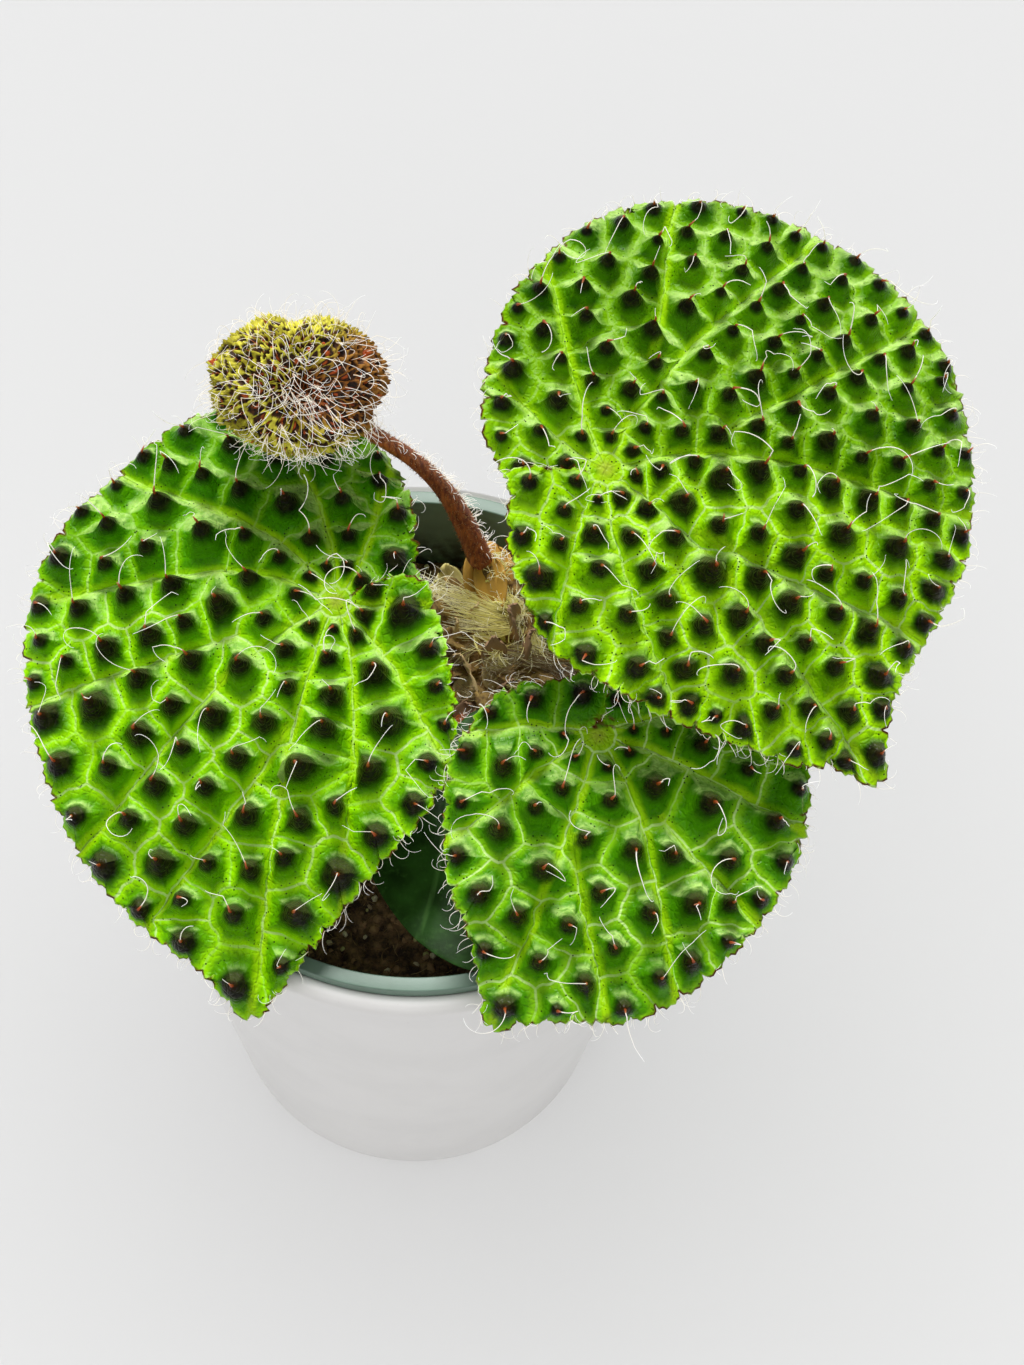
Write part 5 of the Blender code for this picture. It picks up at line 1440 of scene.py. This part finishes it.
def bract_model():
    """One papery bract, modelled from a grid: narrow foot, round end, cupped and curved, with a thickness."""
    deselect_all()
    bpy.ops.mesh.primitive_grid_add(x_subdivisions=8, y_subdivisions=14, size=2.0)
    bract = bpy.context.object
    for corner in bract.data.vertices:
        u, v = corner.co.x, (corner.co.y + 1) / 2
        half = 0.32 * math.sqrt(max(0.02, 1 - (2 * v - 1.1) ** 2)) * (0.6 + 0.4 * v)
        crease = 0.03 * math.cos(u * 14)
        corner.co = Vector((u * half, v - 0.12 * u * u * v, 0.16 * u * u - 0.35 * v * v + crease))
    thick = bract.modifiers.new("thick", "SOLIDIFY")
    thick.thickness = 0.03
    bpy.ops.object.modifier_apply(modifier="thick")
    return taken_model(bract)


def build_bracts(rng):
    """Papery bracts standing and lying round the crown."""
    count = bpy.context.scene.begonia_hair.bracts
    placed = []
    for root, tip, tint in SHOWN_BRACTS:
        way = Vector(tip) - Vector(root)
        side = way.cross(Vector(TO_CAMERA)).normalized()
        turn = np.array((side, way.normalized(), side.cross(way).normalized())).T
        placed.append((np.array(root), way.length, turn, tint))
    for number in range(count):
        share, turn = number / count, number * GOLDEN_TURN
        reach = 3.5 + 8.5 * share
        at = CROWN_MIDDLE + Vector((math.cos(turn) * reach, math.sin(turn) * reach, 6.5 - 8.0 * share))
        lean = Matrix.Rotation(math.radians(20 + 60 * share), 3, "X") @ Matrix.Rotation(math.pi / 2, 3, "X")
        swing = Matrix.Rotation(turn + math.pi / 2 + rng.uniform(-0.4, 0.4), 3, "Z")
        tint = 0.4 + 0.6 * (number * GOLDEN % 1.0)
        placed.append((np.array(at), rng.uniform(7.0, 12.5), np.array(swing @ lean), tint))
    bracts = copies("crown_bracts", [bract_model()], *zip(*placed))
    codes = ("#CCC85C", "#ECE496", "#DCC08C", "#B08C6C", "#FAF2A0", "#C89A40")
    finish_piece(bracts, plain_organic("papery bract", codes, 2.2, 0.55, 0.1), "crown_fibre")


def build_stage():
    """Pale floor, soft sky, a broad key light from behind and above, and the camera."""
    settings = bpy.context.scene.begonia_stage
    deselect_all()
    bpy.ops.mesh.primitive_plane_add(size=9.0, location=(0, 0, 0))
    floor = bpy.context.object
    floor.name = "floor"
    floor.data.materials.append(floor_paint())
    world = bpy.data.worlds.new("soft studio")
    bpy.context.scene.world = world
    world.use_nodes = True
    sky = {"Color": "#FFFFFF", "Strength": settings.sky}
    set_inputs(world.node_tree, world.node_tree.nodes["Background"], sky)
    plant, ceramic, ground = (bpy.data.collections.new(name) for name in ("plant", "ceramic", "ground"))
    for piece in bpy.data.objects:
        if piece.type == "MESH":
            {"floor": ground, "pot": ceramic}.get(piece.name, plant).objects.link(piece)
    for name, lean, turn, strength, angle, lit, blockers in (
        ("key light", -32, -9, settings.key, 24, plant, None),
        ("front light", 52, -10, settings.fill, 60, None, None),
        ("pot light", -8, 0, settings.pot, 64, ceramic, None),
        ("table light", -8, 0, settings.table, 64, ground, None),
        ("floor glow", 0, 0, settings.glow, 0, ground, ground),
    ):
        bpy.ops.object.light_add(type="SUN", rotation=(math.radians(lean), math.radians(turn), 0))
        lamp = bpy.context.object
        lamp.name = name
        lamp.data.energy = strength
        lamp.data.angle = math.radians(angle)
        lamp.light_linking.receiver_collection = lit
        lamp.light_linking.blocker_collection = blockers
    bpy.ops.object.camera_add()
    camera = bpy.context.object
    camera.data.lens = CAMERA_LENS
    camera.data.sensor_width = 36.0
    camera.data.clip_start = 0.01
    right = Vector(CAMERA_RIGHT).normalized()
    back = right.cross(Vector(CAMERA_UP)).normalized()
    turn = Matrix((right, back.cross(right), back)).transposed().to_4x4()
    camera.matrix_world = Matrix.Translation(Vector(CAMERA_AT) * MM) @ turn
    bpy.context.scene.camera = camera
    bpy.context.scene.view_settings.view_transform = "Standard"


class BEGONIA_OT_pots(bpy.types.Operator):
    """Build the white pot and the nursery liner in it"""

    bl_idname = "begonia.pots"
    bl_label = "Pot and liner"

    def execute(self, context):
        build_pot()
        build_liner()
        return {"FINISHED"}


class BEGONIA_OT_soil(bpy.types.Operator):
    """Build the soil with its crumbs, bark, grit and fibres"""

    bl_idname = "begonia.soil"
    bl_label = "Soil"

    def execute(self, context):
        build_soil_surface()
        build_soil_pieces()
        return {"FINISHED"}


class BEGONIA_OT_crown(bpy.types.Operator):
    """Build the hairy crown and the leaf stalks"""

    bl_idname = "begonia.crown"
    bl_label = "Crown and stalks"

    def execute(self, context):
        build_crown()
        build_stalks()
        return {"FINISHED"}


class BEGONIA_OT_bumpy_leaves(bpy.types.Operator):
    """Build the three bumpy leaves with their hairs"""

    bl_idname = "begonia.bumpy_leaves"
    bl_label = "Bumpy leaves"

    def execute(self, context):
        for node, name, greens, cap_to, gloss, paleness in (
            ("blade_left", "mature waxy leaf", ("#266400", "#469200", "#6EB800", "#A2EA00"), 0.5, 0.3, 0.8),
            ("blade_right", "bright waxy leaf", ("#2C6400", "#528E00", "#80BE00", "#B2F400"), 0.52, 0.3, 0.8),
            ("blade_front", "deep glossy leaf", ("#1E5C00", "#3A8004", "#56A006", "#8ED014"), 0.4, 0.24, 0.9),
        ):
            build_bumpy_leaf(node, bumpy_leaf(name, greens, cap_to, gloss, paleness))
        return {"FINISHED"}


class BEGONIA_OT_other_leaves(bpy.types.Operator):
    """Build the smooth leaf and the furled young leaf"""

    bl_idname = "begonia.other_leaves"
    bl_label = "Smooth and furled leaves"

    def execute(self, context):
        build_smooth_leaf()
        build_furled_leaf()
        return {"FINISHED"}


class BEGONIA_OT_stage(bpy.types.Operator):
    """Build the floor, the lights and the camera"""

    bl_idname = "begonia.stage"
    bl_label = "Stage"

    def execute(self, context):
        build_stage()
        return {"FINISHED"}


class BEGONIA_PT_panel(bpy.types.Panel):
    """Lists the steps that build the plant"""

    bl_label = "Potted begonia"
    bl_idname = "BEGONIA_PT_panel"
    bl_space_type = "VIEW_3D"
    bl_region_type = "UI"
    bl_category = "Begonia"

    def draw(self, context):
        for operator in OPERATORS:
            self.layout.operator(operator.bl_idname)
        for group in SETTINGS:
            settings = getattr(context.scene, group)
            for label in settings.__annotations__:
                self.layout.prop(settings, label)


SETTINGS = {
    "begonia_pot": PotSettings,
    "begonia_soil": SoilSettings,
    "begonia_leaf": LeafSettings,
    "begonia_hair": HairSettings,
    "begonia_stage": StageSettings,
}
OPERATORS = (
    BEGONIA_OT_pots,
    BEGONIA_OT_soil,
    BEGONIA_OT_crown,
    BEGONIA_OT_bumpy_leaves,
    BEGONIA_OT_other_leaves,
    BEGONIA_OT_stage,
)


def register():
    """Register the settings, the operators and the panel."""
    for name, group in SETTINGS.items():
        bpy.utils.register_class(group)
        setattr(bpy.types.Scene, name, bpy.props.PointerProperty(type=group))
    for part in (*OPERATORS, BEGONIA_PT_panel):
        bpy.utils.register_class(part)


def unregister():
    """Undo register."""
    for part in (BEGONIA_PT_panel, *reversed(OPERATORS)):
        bpy.utils.unregister_class(part)
    for name, group in SETTINGS.items():
        delattr(bpy.types.Scene, name)
        bpy.utils.unregister_class(group)


def main():
    """Register the settings and build everything."""
    register()
    make_hair_materials()
    bpy.ops.begonia.pots()
    bpy.ops.begonia.soil()
    bpy.ops.begonia.crown()
    bpy.ops.begonia.bumpy_leaves()
    bpy.ops.begonia.other_leaves()
    bpy.ops.begonia.stage()


if __name__ == "__main__":
    main()
